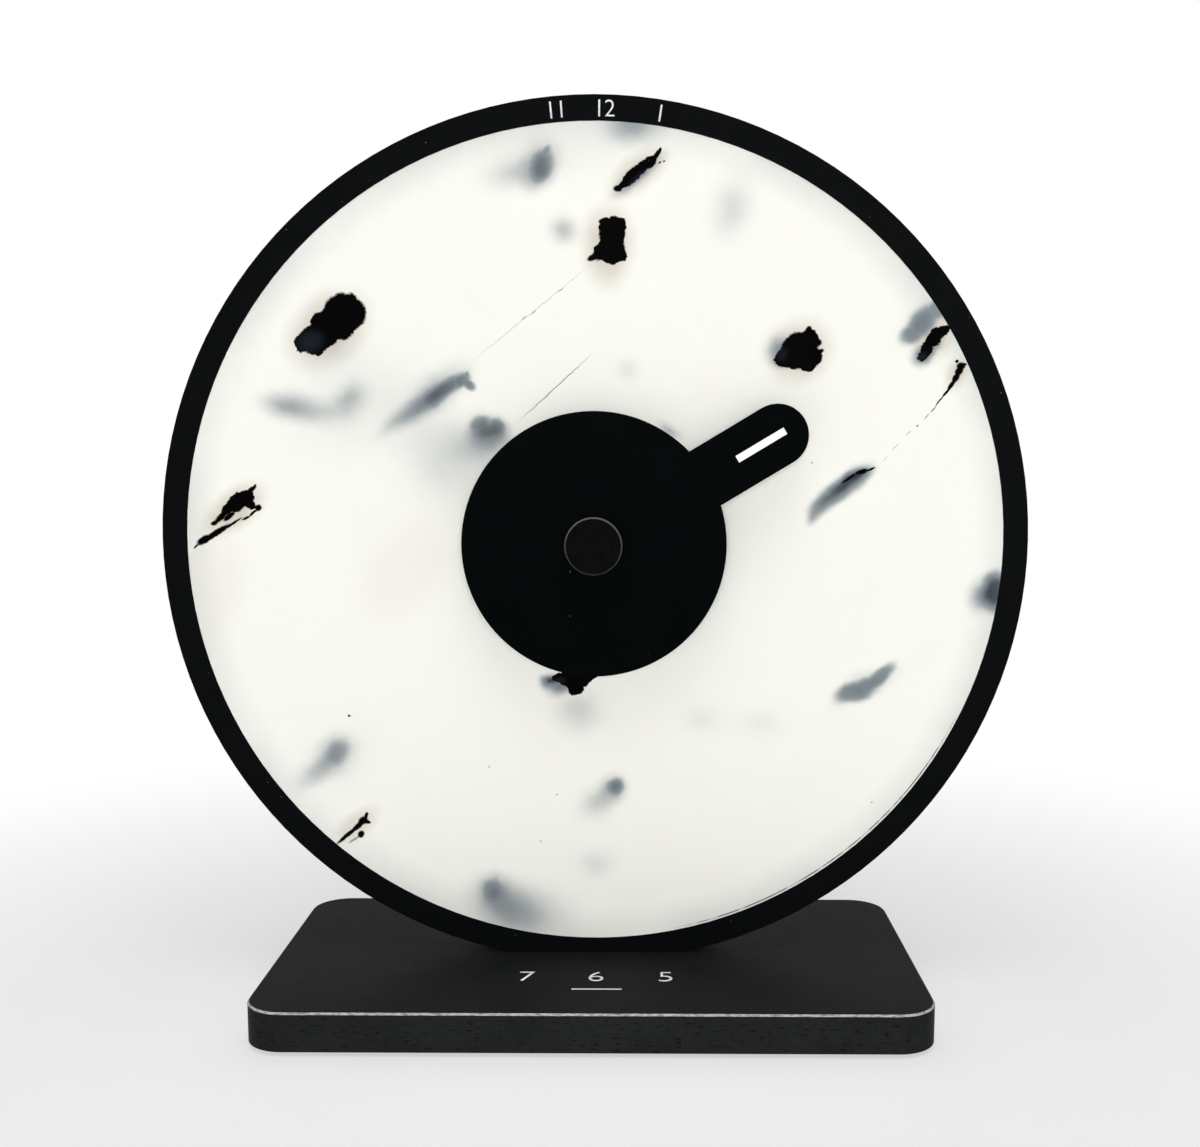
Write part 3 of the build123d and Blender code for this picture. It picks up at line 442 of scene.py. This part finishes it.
def arris_group():
    """A mask for the small bevels round a piece whose main faces look along an axis."""
    tree, given = new_group("Arris", ("Facing", "Axis"))
    along = calc("ABSOLUTE", vector_calc("DOT_PRODUCT", given["Facing"], given["Axis"]))
    return close_group(tree, Mask=times(fade(along, 0.25, 0.5), fade(along, 0.97, 0.85)))


GROUPS = {"Fleck": fleck_group, "Dust specks": dust_group, "Fine grain": grain_group, "Arris": arris_group}


def group_node(name, **inputs):
    """Place a shared group with its own values and give its outputs. The group is built at its first use."""
    group = bpy.data.node_groups.get(name) or GROUPS[name]()
    return linked_node("Group", inputs, node_tree=group).outputs


def grained(place, fine, broad):
    """Height and shade of a fine grain."""
    grain = group_node("Fine grain", Place=place, Fine=fine, Broad=broad)
    return grain["Height"], grain["Shade"]


def turned_rings(place, pace):
    """The height of fine rings round the dial's axis, as a lathe leaves them."""
    centred = vector_calc("SUBTRACT", place, (0.0, 0.0, AXIS_HEIGHT))
    flat = vector_calc("MULTIPLY", centred, (1.0, 0.0, 1.0))
    return calc("SINE", times(vector_calc("LENGTH", flat), pace))


def new_material(name, **constants):
    """A node material and the place on the piece, in metres."""
    material = bpy.data.materials.new(name)
    material.use_nodes = True
    tree = material.node_tree
    for socket, value in constants.items():
        tree.nodes["Principled BSDF"].inputs[socket.replace("_", " ")].default_value = value
    return material, add_node(tree, "ShaderNodeTexCoord").outputs["Object"]


def surfaced(material, colour, roughness, height=None, rise=0.00002, strength=0.5, metallic=None):
    """Join colour, roughness and a bump to a material's shader, and give the material."""
    results = {"Base Color": colour, "Roughness": roughness}
    if metallic is not None:
        results["Metallic"] = metallic
    if height is not None:
        bump = linked_node("Bump", {"Height": height, "Strength": strength, "Distance": rise})
        results["Normal"] = bump.outputs["Normal"]
    for socket, value in results.items():
        material.node_tree.links.new(value, material.node_tree.nodes["Principled BSDF"].inputs[socket])
    return material


def dress(material, *names):
    """Give CAD nodes a material."""
    for name in names:
        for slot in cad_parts[name].material_slots:
            slot.material = material


def board_material(name, colour, behind, dust, specular, arris_highlight=None):
    """Black sealed board: a tone of its own in front, which on the dial board is a darker painted shade, fine fibre,
    pale specks, and a painted highlight on the arris if one is given.
    """
    material, place = new_material(name, Specular_IOR_Level=specular)
    height, shade = grained(place, fine=1500.0, broad=90.0)
    fibre = noise(place, 700.0, 5.0, 0.65, stretch=(1.0, 1.0, 5.0))
    specks = group_node("Dust specks", Place=place, Spacing=330.0, Size=0.05, Amount=dust)["Mask"]
    facing = place.node.outputs["Normal"]
    sides = axes_of(facing)
    # Forward faces take the first colour and the rest the second; the dial board's darker front is painted shade
    tone = blend(fade(sides["Y"], -0.8, -0.2), colour, behind)
    tone = shaded(tone, shade, 0.9, 1.1)
    tone = shaded(tone, fibre, 0.88, 1.14)
    if arris_highlight is not None:
        level = calc("ABSOLUTE", sides["Z"])
        dashes = noise(place, 1500.0, stretch=(0.3, 0.3, 1.6))
        sawn = scaled(tone, fade(dashes, 0.58, 0.68, 1.45, 0.5))
        tone = blend(fade(level, 0.5, 0.2), tone, sawn)
    tone = blend(times(specks, 0.35), tone, DUST)
    if arris_highlight is not None:
        # Painted highlight along the base's front arris
        arris = group_node("Arris", Facing=facing, Axis=(0.0, 0.0, 1.0))["Mask"]
        painted_highlight = times(arris, fade(fibre, 0.35, 0.6, 0.3, 0.85))
        painted_highlight = times(painted_highlight, fade(axes_of(place)["Y"], *HIGHLIGHT_DEPTHS, 1.0, 0.12))
        tone = blend(painted_highlight, tone, arris_highlight)
    roughness = fade(fibre, 0.25, 0.75, 0.38, 0.5)
    return surfaced(material, tone, roughness, calc("ADD", height, fibre), 0.00003, 0.35)


def plastic_material(name, colour, roughness, specular=0.4, fine=2200.0, rise=0.00002):
    """Moulded plastic: fine spark grain and a slow change of shade."""
    material, place = new_material(name, Specular_IOR_Level=specular)
    height, shade = grained(place, fine, broad=120.0)
    rough = spread(shade, roughness - 0.06, roughness + 0.08)
    return surfaced(material, shaded(colour, shade, 0.88, 1.12), rough, height, rise, 0.4)


def metal_material(name, colour, roughness, stretch):
    """Plated or drawn metal: hair lines along the way it was worked, with a few duller patches."""
    material, place = new_material(name, Metallic=1.0)
    lines = noise(place, 900.0, 4.0, 0.6, stretch)
    shade = grained(place, fine=1800.0, broad=160.0)[1]
    rough = spread(lines, roughness * 0.75, roughness * 1.3)
    return surfaced(material, shaded(colour, shade, 0.85, 1.1), rough, lines, 0.00001, 0.25)


def face_material(settings):
    """Pale plastic sheet pressed from shreds: black flecks at the surface, smoke below it, and painted shade: greyer
    at the edge, a warm haze round the flecks and a dark line beside the rim at the lower right.
    """
    material, place = new_material("Flecked sheet", Specular_IOR_Level=0.01)
    in_mm = vector_calc("SUBTRACT", scaled(place, PER_MM), (0.0, 0.0, AXIS_HEIGHT * PER_MM))
    axes = axes_of(in_mm)
    flat = linked_node("CombineXYZ", {"X": axes["X"], "Y": axes["Z"]}).outputs[0]

    def warped(steps):
        """The place on the face, shaken by noise of several sizes."""
        moved = flat
        for scale, amount in steps:
            shake = vector_calc("SUBTRACT", noise(flat, scale, output="Color"), (0.5, 0.5, 0.5))
            shake = vector_calc("MULTIPLY", shake, (amount, amount, 0.0))
            moved = vector_calc("ADD", moved, shake)
        return moved

    def laid(flecks, ground, core, fringe, soft=1.0, together="MULTIPLY"):
        """How clear the sheet stays between many flecks."""
        clear = None
        for right, up, half_length, half_width, turn, *strength in flecks:
            one = group_node("Fleck", Place=ground, Centre=(right, up, 0.0), Turn=math.radians(turn),
                             Reach=(half_length, half_width, 1.0), Core=core, Fringe=fringe,
                             Strength=strength[0] if strength else 1.0, Soft=soft)["Clear"]
            clear = one if clear is None else calc(together, clear, one)
        return clear

    ragged = warped(((0.4, 1.5), (1.7, 0.8)))
    fine = warped(((0.5, 0.5), (2.2, 0.25)))
    drifting = warped(((0.09, 2.4), (0.35, 0.9)))
    blots = [fleck for fleck in INK_FLECKS if fleck[3] >= STRAND_WIDTH]
    strands = [fleck for fleck in INK_FLECKS if fleck[3] < STRAND_WIDTH]
    clear = times(laid(blots, ragged, 0.92, 1.07), laid(strands, fine, 0.7, 1.15))
    ink = rest_of(times(clear, laid(THREADS, fine, 0.5, 1.2)))
    far_clear = laid(SMOKE_FLECKS, drifting, 0.35, 1.8, 0.6)
    near_clear = laid(NEAR_SMOKE, drifting, 0.4, 1.5, together="MINIMUM")
    smoke = rest_of(times(far_clear, near_clear))
    # Painted shade round the black flecks
    haze = rest_of(laid(FLECK_SHADE_HAZES, drifting, 0.3, 1.3))

    away = vector_calc("LENGTH", flat)
    patches = fade(noise(flat, 0.028, 3.0), 0.35, 0.65, 0.5, 1.0)
    # Painted shade towards the rim, in patches
    edge = times(times(fade(away, *RIM_SHADE_FADE), patches), settings.rim_shade)
    ground = blend(edge, settings.pale, settings.smoke)
    cloud = noise(flat, 0.045, 3.0)
    ground = blend(fade(cloud, 0.5, 0.8, 0.0, 0.14), ground, COOL_CLOUD)
    ground = blend(fade(cloud, 0.46, 0.2, 0.0, 0.10), ground, WARM_CLOUD)
    ground = blend(haze, ground, settings.haze)
    tone = blend(fade(smoke, 0.0, 0.66), ground, settings.smoke)
    tone = blend(fade(smoke, 0.6, 1.0), tone, settings.deep)
    thin = rest_of(laid(SHEENS, fine, 0.3, 1.4))
    specks = group_node("Dust specks", Place=place, Spacing=420.0, Size=0.06, Amount=0.3)["Mask"]
    black = blend(thin, settings.ink, settings.sheen)
    black = blend(times(specks, 0.5), black, settings.pale)
    tone = blend(ink, tone, black)

    # A painted line of shade beside the rim at the lower right, where the sheet meets it
    ring = calc("ABSOLUTE", calc("SUBTRACT", away, FACE_RADIUS * PER_MM - SHADE_GAP_INSET))
    low_right = vector_calc("DOT_PRODUCT", vector_calc("NORMALIZE", flat), SHADE_GAP_BEARING)
    gap_shade = times(fade(ring, 0.2, 0.08), fade(low_right, 0.88, 0.95))
    broken = fade(noise(flat, 0.3), 0.4, 0.55, 0.35, 0.9)
    tone = blend(times(gap_shade, broken), tone, settings.deep)

    height, shade = grained(place, fine=900.0, broad=80.0)
    return surfaced(material, tone, spread(shade, 0.44, 0.54), height, strength=0.2)


def cap_material(settings):
    """Turned black cap: fine rings on its front and a painted highlight on its arris, brightest at the top."""
    material, place = new_material("Turned cap", Specular_IOR_Level=0.012)
    height, shade = grained(place, fine=1600.0, broad=200.0)
    arris = group_node("Arris", Facing=place.node.outputs["Normal"], Axis=(0.0, 1.0, 0.0))["Mask"]
    # Painted highlight on the cap's arris, brightest at the top
    highlight_fade = fade(axes_of(place)["Z"], AXIS_HEIGHT - CAP_HIGHLIGHT_SPAN, AXIS_HEIGHT + CAP_HIGHLIGHT_SPAN, 0.3, 1.0)
    tone = shaded(settings.cap, height, 0.5, 1.5)
    tone = blend(times(arris, highlight_fade), tone, settings.cap_highlight)
    rings = turned_rings(place, 26000.0)
    return surfaced(material, tone, spread(shade, 0.4, 0.52), rings, 0.000004, 0.3)


def case_material(settings):
    """Moulded case: spark grain, with a screw thread on the stem that goes through the dial."""
    material, place = new_material("Moulded case", Specular_IOR_Level=0.4)
    height, shade = grained(place, fine=2400.0, broad=110.0)
    depth = axes_of(place)["Y"]
    thread = calc("SINE", times(depth, 2.0 * math.pi / THREAD_PITCH))
    thread = times(times(thread, 8.0), calc("LESS_THAN", depth, RIM_BACK))
    tone = shaded(settings.case, shade, 0.94, 1.06)
    return surfaced(material, tone, spread(height, 0.4, 0.48), calc("ADD", thread, height), 0.00003, 0.45)


def nut_material():
    """Turned brass nut: rings on its faces and a few duller patches."""
    material, place = new_material("Turned brass", Metallic=1.0)
    shade = grained(place, fine=1600.0, broad=260.0)[1]
    rings = turned_rings(place, 32000.0)
    tone = shaded(BRASS, shade, 0.75, 1.12)
    return surfaced(material, tone, spread(shade, 0.24, 0.42), rings, 0.000006, 0.35)


def beech_material():
    """Beech dowel: grain along its length with short dark rays."""
    material, place = new_material("Beech", Specular_IOR_Level=0.3)
    along = noise(place, 900.0, 4.0, 0.6, stretch=(1.0, 1.0, 0.07))
    rays = noise(place, 2600.0, 1.0, stretch=(1.0, 1.0, 0.3))
    tone = blend(fade(along, 0.35, 0.65), BEECH_DARK, BEECH_PALE)
    tone = blend(fade(rays, 0.66, 0.74, 0.0, 0.7), tone, BEECH_RAY)
    return surfaced(material, tone, spread(along, 0.5, 0.66), along, 0.00003, 0.4)


def board_laminate_material():
    """Green circuit laminate: glass weave under the mask, and a few copper runs."""
    material, place = new_material("Circuit laminate", Specular_IOR_Level=0.4)
    axes = axes_of(place)
    weave = times(*(calc("SINE", times(axes[axis], 9000.0)) for axis in "XZ"))
    waves = {"Vector": place, "Scale": 95.0, "Distortion": 1.5, "Detail": 0.0}
    runs = fade(linked_node("TexWave", waves, bands_direction="X").outputs["Fac"], 0.82, 0.88)
    tone = blend(fade(weave, -1.0, 1.0), MASK_DARK, MASK_PALE)
    tone = blend(runs, tone, MASK_RUN)
    height = calc("ADD", runs, times(weave, 0.15))
    return surfaced(material, tone, fade(weave, -1.0, 1.0, 0.3, 0.4), height, 0.00003, 0.4)


def battery_material(settings):
    """Dry cell: a plain sleeve with a pale band at the button end and a pale line, and bare metal ends."""
    material, place = new_material("Dry cell", Specular_IOR_Level=0.5)
    along = axes_of(place)["X"]
    ends = calc("ABSOLUTE", axes_of(place.node.outputs["Normal"])["X"])
    button = calc("GREATER_THAN", along, cell_high.x - BUTTON_END)
    bare = calc("MAXIMUM", calc("GREATER_THAN", ends, 0.9), button)
    band = calc("GREATER_THAN", along, cell_high.x - BAND_END)
    from_line = calc("ABSOLUTE", calc("SUBTRACT", along, cell_low.x + LINE_PLACE))
    pale = calc("MAXIMUM", band, calc("LESS_THAN", from_line, LINE_HALF))
    height, shade = grained(place, fine=1400.0, broad=90.0)
    tone = blend(pale, shaded(settings.sleeve, shade, 0.85, 1.15), settings.band)
    tone = blend(bare, tone, BARE_TIN)
    return surfaced(material, tone, spread(shade, 0.26, 0.36), height, 0.00001, 0.25, bare)


def print_material(settings):
    """White screen ink: slightly uneven, thinner in places."""
    material, place = new_material("Screen ink", Specular_IOR_Level=0.2)
    height, shade = grained(place, fine=4200.0, broad=900.0)
    tone = shaded(settings.ink, shade, 0.9, 1.02)
    return surfaced(material, tone, spread(shade, 0.5, 0.62), height, 0.00001, 0.3)


def copper_material():
    """Enamelled copper wire: warm lacquer that changes a little from turn to turn."""
    material, place = new_material("Enamelled wire", Metallic=1.0, Coat_Weight=0.5, Coat_Roughness=0.15)
    turns = noise(place, 1500.0, stretch=(0.2, 0.2, 1.0))
    tone = blend(spread(turns, 0.0, 1.0), LACQUER_DARK, LACQUER_PALE)
    return surfaced(material, tone, spread(turns, 0.22, 0.36))


def new_object(name, data):
    """An object in the scene."""
    made = bpy.data.objects.new(name, data)
    bpy.context.scene.collection.objects.link(made)
    return made


def new_piece(name, shapes, material):
    """Make one finished piece from several shapes, each with its own place."""
    whole = bmesh.new()
    for shape, place in shapes:
        shape.transform(place)
        part = bpy.data.meshes.new("part")
        shape.to_mesh(part)
        shape.free()
        whole.from_mesh(part)
        bpy.data.meshes.remove(part)
    mesh = bpy.data.meshes.new(name)
    whole.to_mesh(mesh)
    whole.free()
    mesh.materials.append(material)
    piece = new_object(name, mesh)
    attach(piece, "clock")


def frame_of(right, up, origin):
    """A place for flat work: its right and up directions and its origin."""
    right, up = Vector(right), Vector(up)
    turn = Matrix((right, up, right.cross(up))).transposed().to_4x4()
    return Matrix.Translation(origin) @ turn


def thicken(shape, rise):
    """Turn flat faces that lie at height nothing into a solid film of that rise."""
    made = bmesh.ops.extrude_face_region(shape, geom=shape.faces[:], use_keep_orig=True)
    for item in made["geom"]:
        if isinstance(item, bmesh.types.BMVert):
            item.co.z += rise
    bmesh.ops.recalc_face_normals(shape, faces=shape.faces)


def digit_shape(character, height, film):
    """A flat digit of a set height with the ink's thickness, its foot at the origin and its middle on it."""
    curve = bpy.data.curves.new("digit", "FONT")
    curve.body = character
    curve.resolution_u = 5
    curve.offset = DIGIT_OFFSET
    carrier = new_object("digit", curve)
    bpy.context.view_layer.update()
    flat = bpy.data.meshes.new_from_object(carrier.evaluated_get(bpy.context.evaluated_depsgraph_get()))
    bpy.data.objects.remove(carrier)
    shape = bmesh.new()
    shape.from_mesh(flat)
    bpy.data.meshes.remove(flat)
    bmesh.ops.remove_doubles(shape, verts=shape.verts, dist=1e-5)
    low = Vector([min(v.co[i] for v in shape.verts) for i in range(3)])
    high = Vector([max(v.co[i] for v in shape.verts) for i in range(3)])
    factor = height / (high.y - low.y)
    middle = Vector(((low.x + high.x) / 2, low.y, low.z))
    for vertex in shape.verts:
        vertex.co = (vertex.co - middle) * factor
    thicken(shape, film)
    return shape


def outline_shape(corners, rise):
    """A solid film from a flat outline."""
    shape = bmesh.new()
    shape.faces.new([shape.verts.new((x, y, 0.0)) for x, y in corners])
    thicken(shape, rise)
    return shape


def bar_shape(length, width, rise):
    """A flat bar with its middle at the origin and clipped corners."""
    x, y, clip = length / 2, width / 2, width * 0.12
    corners = ((clip - x, -y), (x - clip, -y), (x, clip - y), (x, y - clip), (x - clip, y), (clip - x, y),
               (-x, y - clip), (-x, clip - y))
    return outline_shape(corners, rise)


class TIDE_OT_front(Operator):
    """Finish the two boards, the flecked face, and the hand with its index line and cap"""

    bl_idname = "tide.front"
    bl_label = "Front"

    def execute(self, context):
        front = context.scene.tide_front
        dress(board_material("Dial board black", front.rim, front.base, front.dust, 0.015), "dial_body")
        base_dust = front.dust * BASE_DUST_SHARE
        dress(board_material("Base board black", front.base, front.base, base_dust, 0.012, front.arris_highlight), "base_plate")
        dress(face_material(context.scene.tide_face), "dial_face")
        dress(board_material("Hand black", front.hand, front.hand, HAND_DUST, 0.005), "tide_hand")
        dress(plastic_material("Index white", front.index, 0.5, 0.2), "index_line")
        dress(cap_material(front), "hand_cap")
        return {"FINISHED"}


class TIDE_OT_numbers(Operator):
    """Print plain numbers on the rim and on the base"""

    bl_idname = "tide.numbers"
    bl_label = "Numbers"

    def execute(self, context):
        settings = context.scene.tide_number
        ink = print_material(settings)
        shapes = []
        for character, degrees in RIM_DIGITS:
            angle = math.radians(degrees)
            outward = Vector((math.cos(angle), 0.0, math.sin(angle)))
            right = (math.sin(angle), 0.0, -math.cos(angle))
            foot = Vector((0.0, RIM_FRONT, AXIS_HEIGHT)) + outward * settings.rim_radius
            shape = digit_shape(character, settings.rim_height, settings.film)
            shapes.append((shape, frame_of(right, outward, foot)))
        new_piece("rim_numbers", shapes, ink)
        shapes = []
        for character, right in BASE_DIGITS:
            shape = digit_shape(character, settings.base_height, settings.film)
            shapes.append((shape, Matrix.Translation((right * MM, -settings.base_foot, BASE_TOP))))
        rule = bar_shape(settings.rule_length, settings.rule_width, settings.film)
        shapes.append((rule, Matrix.Translation((MM, -settings.rule_reach, BASE_TOP))))
        new_piece("base_numbers", shapes, ink)
        return {"FINISHED"}


class TIDE_OT_inside(Operator):
    """Finish the joinery, the frames, wheels and contacts, the circuit and the battery"""

    bl_idname = "tide.inside"
    bl_label = "Inside"

    def execute(self, context):
        for name, colour, roughness, specular, fine, rise, pieces in MOULDINGS:
            dress(plastic_material(name, colour, roughness, specular, fine, rise), *pieces)
        for name, colour, roughness, stretch, pieces in METALS:
            dress(metal_material(name, colour, roughness, stretch), *pieces)
        dress(beech_material(), "dial_dowels")
        dress(nut_material(), "stem_nut")
        dress(board_laminate_material(), "circuit_board")
        dress(battery_material(context.scene.tide_movement), "battery")
        return {"FINISHED"}


class TIDE_OT_case(Operator):
    """Finish the movement's case, cover and knob, and mould the turning arrow and the battery signs"""

    bl_idname = "tide.case"
    bl_label = "Movement case"

    def execute(self, context):
        settings = context.scene.tide_movement
        dress(case_material(settings), "movement_case", "movement_cover", "setting_knob")
        # The signs and the arrow take a lighter black: painted highlight
        raised = plastic_material("Raised marks", settings.mark, 0.4)
        rise = settings.sign_rise

        def on_cover(right, height):
            """A place for flat work on the back of the cover."""
            return frame_of((-1.0, 0.0, 0.0), (0.0, 0.0, 1.0), Vector((right, CASE_BACK, height)))

        def around(radius, angle):
            """A point at a radius and an angle."""
            return radius * math.cos(angle), radius * math.sin(angle)

        start, sweep = math.radians(ARROW_START), math.radians(ARROW_SWEEP)
        turns = [start + sweep * step / ARROW_STEPS for step in range(ARROW_STEPS + 1)]
        arc = [around(ARROW_OUTER, turn) for turn in turns] + [around(ARROW_INNER, turn) for turn in reversed(turns)]
        middle, last = (ARROW_INNER + ARROW_OUTER) / 2, turns[-1]
        head = (around(middle + ARROW_HEAD, last), around(middle, last + ARROW_POINT),
                around(middle - ARROW_HEAD, last))
        shapes = [(outline_shape(outline, rise), on_cover(0.0, AXIS_HEIGHT)) for outline in (arc, head)]
        new_piece("setting_arrow", shapes, raised)

        arm, width, sign_height = SIGN_ARM, SIGN_WIDTH, cell_high.z + SIGN_CLEAR
        cross, quarter = [], [(-width, -arm), (width, -arm), (width, -width)]
        for _ in range(4):
            cross += quarter
            quarter = [(-y, x) for x, y in quarter]
        shapes = [(outline_shape(cross, rise), on_cover(cell_high.x - SIGN_INSET, sign_height)),
                  (bar_shape(2 * arm, 2 * width, rise), on_cover(cell_low.x + SIGN_INSET, sign_height))]
        new_piece("battery_signs", shapes, raised)
        return {"FINISHED"}


def coil_tree():
    """Geometry nodes that lay rounded turns of wire beside each other."""
    tree = bpy.data.node_groups.new("Coil turns", "GeometryNodeTree")
    tree.interface.new_socket("Geometry", in_out="OUTPUT", socket_type="NodeSocketGeometry")
    for kind, *names in (("Int", "Turns"), ("Float", "Wire", "Width", "Depth", "Corner", "Pitch"), ("Vector", "Start"),
                         ("Material", "Finish")):
        for name in names:
            tree.interface.new_socket(name, in_out="INPUT", socket_type="NodeSocket" + kind)
    given = tree.nodes.new("NodeGroupInput").outputs

    def put(kind, inputs, **settings):
        """Add a geometry node and give its first output."""
        return linked_node(kind, inputs, "GeometryNode", **settings).outputs[0]

    def vector(**axes):
        """A vector from some of its axes."""
        return linked_node("CombineXYZ", axes).outputs[0]

    loop = put("CurvePrimitiveQuadrilateral", {"Width": given["Width"], "Height": given["Depth"]})
    rounded = put("FilletCurve", {"Curve": loop, "Radius": given["Corner"], "Count": 5}, mode="POLY")
    wire = put("CurvePrimitiveCircle", {"Resolution": 10, "Radius": times(given["Wire"], 0.5)})
    turn = put("CurveToMesh", {"Curve": rounded, "Profile Curve": wire})
    step = vector(Z=given["Pitch"])
    line = put("MeshLine", {"Count": given["Turns"], "Start Location": given["Start"], "Offset": step})
    climb = vector(Y=calc("DIVIDE", given["Pitch"], given["Width"]))
    laid = put("InstanceOnPoints", {"Points": line, "Instance": turn, "Rotation": climb})
    smooth = put("SetShadeSmooth", {0: put("RealizeInstances", {0: laid})})
    finished = put("SetMaterial", {"Geometry": smooth, "Material": given["Finish"]})
    add_node(tree, "NodeGroupOutput", {0: finished})
    return tree


class TIDE_OT_coil(Operator):
    """Wind the coil with turns of wire"""

    bl_idname = "tide.coil"
    bl_label = "Coil"

    def execute(self, context):
        settings = context.scene.tide_movement
        tree = coil_tree()
        piece = new_object("coil_turns", bpy.data.meshes.new("coil_turns"))
        modifier = piece.modifiers.new("Turns", "NODES")
        modifier.node_group = tree
        size = coil_high - coil_low
        middle = (coil_low + coil_high) / 2
        wire = settings.wire
        pitch = (size.z - 2.0 * wire) / (settings.turns - 1)
        start = (middle.x, middle.y, coil_low.z + wire)
        values = {"Turns": settings.turns, "Wire": wire, "Width": size.x - wire, "Depth": size.y - wire,
                  "Corner": settings.corner, "Pitch": pitch, "Start": start, "Finish": copper_material()}
        for socket in tree.interface.items_tree:
            if socket.in_out == "INPUT":
                modifier[socket.identifier] = values[socket.name]
        context.view_layer.update()
        wound = bpy.data.meshes.new_from_object(piece.evaluated_get(context.evaluated_depsgraph_get()))
        piece.modifiers.clear()
        piece.data = wound
        if not wound.polygons:
            raise RuntimeError("the coil has no turns")
        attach(piece, "clock")
        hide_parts("coil_winding")
        return {"FINISHED"}


def seen_directly(tree):
    """How far a ray comes from the camera or by way of metal or glass."""
    path = add_node(tree, "ShaderNodeLightPath").outputs
    seen = calc("MAXIMUM", path["Is Camera Ray"], path["Is Glossy Ray"])
    return calc("MAXIMUM", seen, path["Is Transmission Ray"])


def floor_material(colour):
    """Pale floor that keeps the object's shadow near it and turns to white further away."""
    material, place = new_material("Studio floor")
    tree = material.node_tree
    tree.nodes.remove(tree.nodes["Principled BSDF"])
    tone = shaded(colour, noise(place, 40.0, 3.0), 0.99, 1.01)
    matt = linked_node("BsdfDiffuse", {"Color": tone})
    white = add_node(tree, "ShaderNodeEmission", FULL_WHITE)
    far = fade(vector_calc("LENGTH", place), *FLOOR_FADE, 1.0)
    share = times(seen_directly(tree), far)
    mixed = add_node(tree, "ShaderNodeMixShader", {0: share, 1: matt.outputs[0], 2: white.outputs[0]})
    tree.links.new(mixed.outputs[0], tree.nodes["Material Output"].inputs["Surface"])
    return material


class TIDE_OT_stage(Operator):
    """Set up the floor, the light and the camera"""

    bl_idname = "tide.stage"
    bl_label = "Stage"

    def execute(self, context):
        settings = context.scene.tide_stage
        shape = bmesh.new()
        bmesh.ops.create_circle(shape, cap_ends=True, segments=96, radius=FLOOR_RADIUS)
        mesh = bpy.data.meshes.new("studio_floor")
        shape.to_mesh(mesh)
        shape.free()
        floor = new_object("studio_floor", mesh)
        mesh.materials.append(floor_material(settings.floor))

        world = bpy.data.worlds.new("Studio")
        context.scene.world = world
        world.use_nodes = True
        tree = world.node_tree
        soft = tree.nodes["Background"]
        soft.inputs["Color"].default_value = (1.0, 1.0, 1.0, 1.0)
        soft.inputs["Strength"].default_value = settings.ambient
        white = add_node(tree, "ShaderNodeBackground", FULL_WHITE)
        mixed = add_node(tree, "ShaderNodeMixShader",
                         {0: seen_directly(tree), 1: soft.outputs[0], 2: white.outputs[0]})
        tree.links.new(mixed.outputs[0], tree.nodes["World Output"].inputs["Surface"])

        for name, place, target, size, power in LAMPS:
            lamp = bpy.data.lights.new(name, "AREA")
            lamp.shape = "RECTANGLE"
            lamp.size, lamp.size_y = size
            lamp.energy = getattr(settings, power)
            light = new_object(name, lamp)
            light.location = place
            light.rotation_euler = (Vector(target) - Vector(place)).to_track_quat("-Z", "Y").to_euler()
            light.visible_glossy = name != "rear_light"

        lens = bpy.data.cameras.new("photo_camera")
        lens.sensor_fit = "HORIZONTAL"
        lens.sensor_width = 36.0
        lens.lens = settings.lens
        lens.shift_x, lens.shift_y = CAMERA_SHIFT
        lens.clip_start, lens.clip_end = 0.01, 50.0
        camera = new_object("photo_camera", lens)
        camera.location = CAMERA_PLACE
        camera.rotation_euler = CAMERA_TURN
        context.scene.camera = camera
        context.scene.view_settings.view_transform = "Standard"
        return {"FINISHED"}


SETTINGS = (
    ("tide_face", TideFaceSettings), ("tide_front", TideFrontSettings), ("tide_number", TideNumberSettings),
    ("tide_movement", TideMovementSettings), ("tide_stage", TideStageSettings),
)
OPERATORS = (TIDE_OT_front, TIDE_OT_numbers, TIDE_OT_inside, TIDE_OT_case, TIDE_OT_coil, TIDE_OT_stage)


class TIDE_PT_looks(Panel):
    """Lists the steps and settings of the tide clock"""

    bl_idname = "TIDE_PT_looks"
    bl_label = "Tide clock"
    bl_space_type = "VIEW_3D"
    bl_region_type = "UI"
    bl_category = "Tide clock"

    def draw(self, context):
        for operator in OPERATORS:
            self.layout.operator(operator.bl_idname)
        for name, kind in SETTINGS:
            box = self.layout.box()
            for setting in kind.__annotations__:
                box.prop(getattr(context.scene, name), setting)


def register():
    """Add the settings, operators and panel."""
    for name, kind in SETTINGS:
        bpy.utils.register_class(kind)
        setattr(bpy.types.Scene, name, PointerProperty(type=kind))
    for kind in (*OPERATORS, TIDE_PT_looks):
        bpy.utils.register_class(kind)


def unregister():
    """Take them away again."""
    for kind in reversed((*OPERATORS, TIDE_PT_looks)):
        bpy.utils.unregister_class(kind)
    for name, kind in reversed(SETTINGS):
        delattr(bpy.types.Scene, name)
        bpy.utils.unregister_class(kind)


def main():
    """Dress the clock and set the stage."""
    register()
    for operator in OPERATORS:
        getattr(bpy.ops.tide, operator.bl_idname.split(".")[1])()


if __name__ == "__main__":
    main()
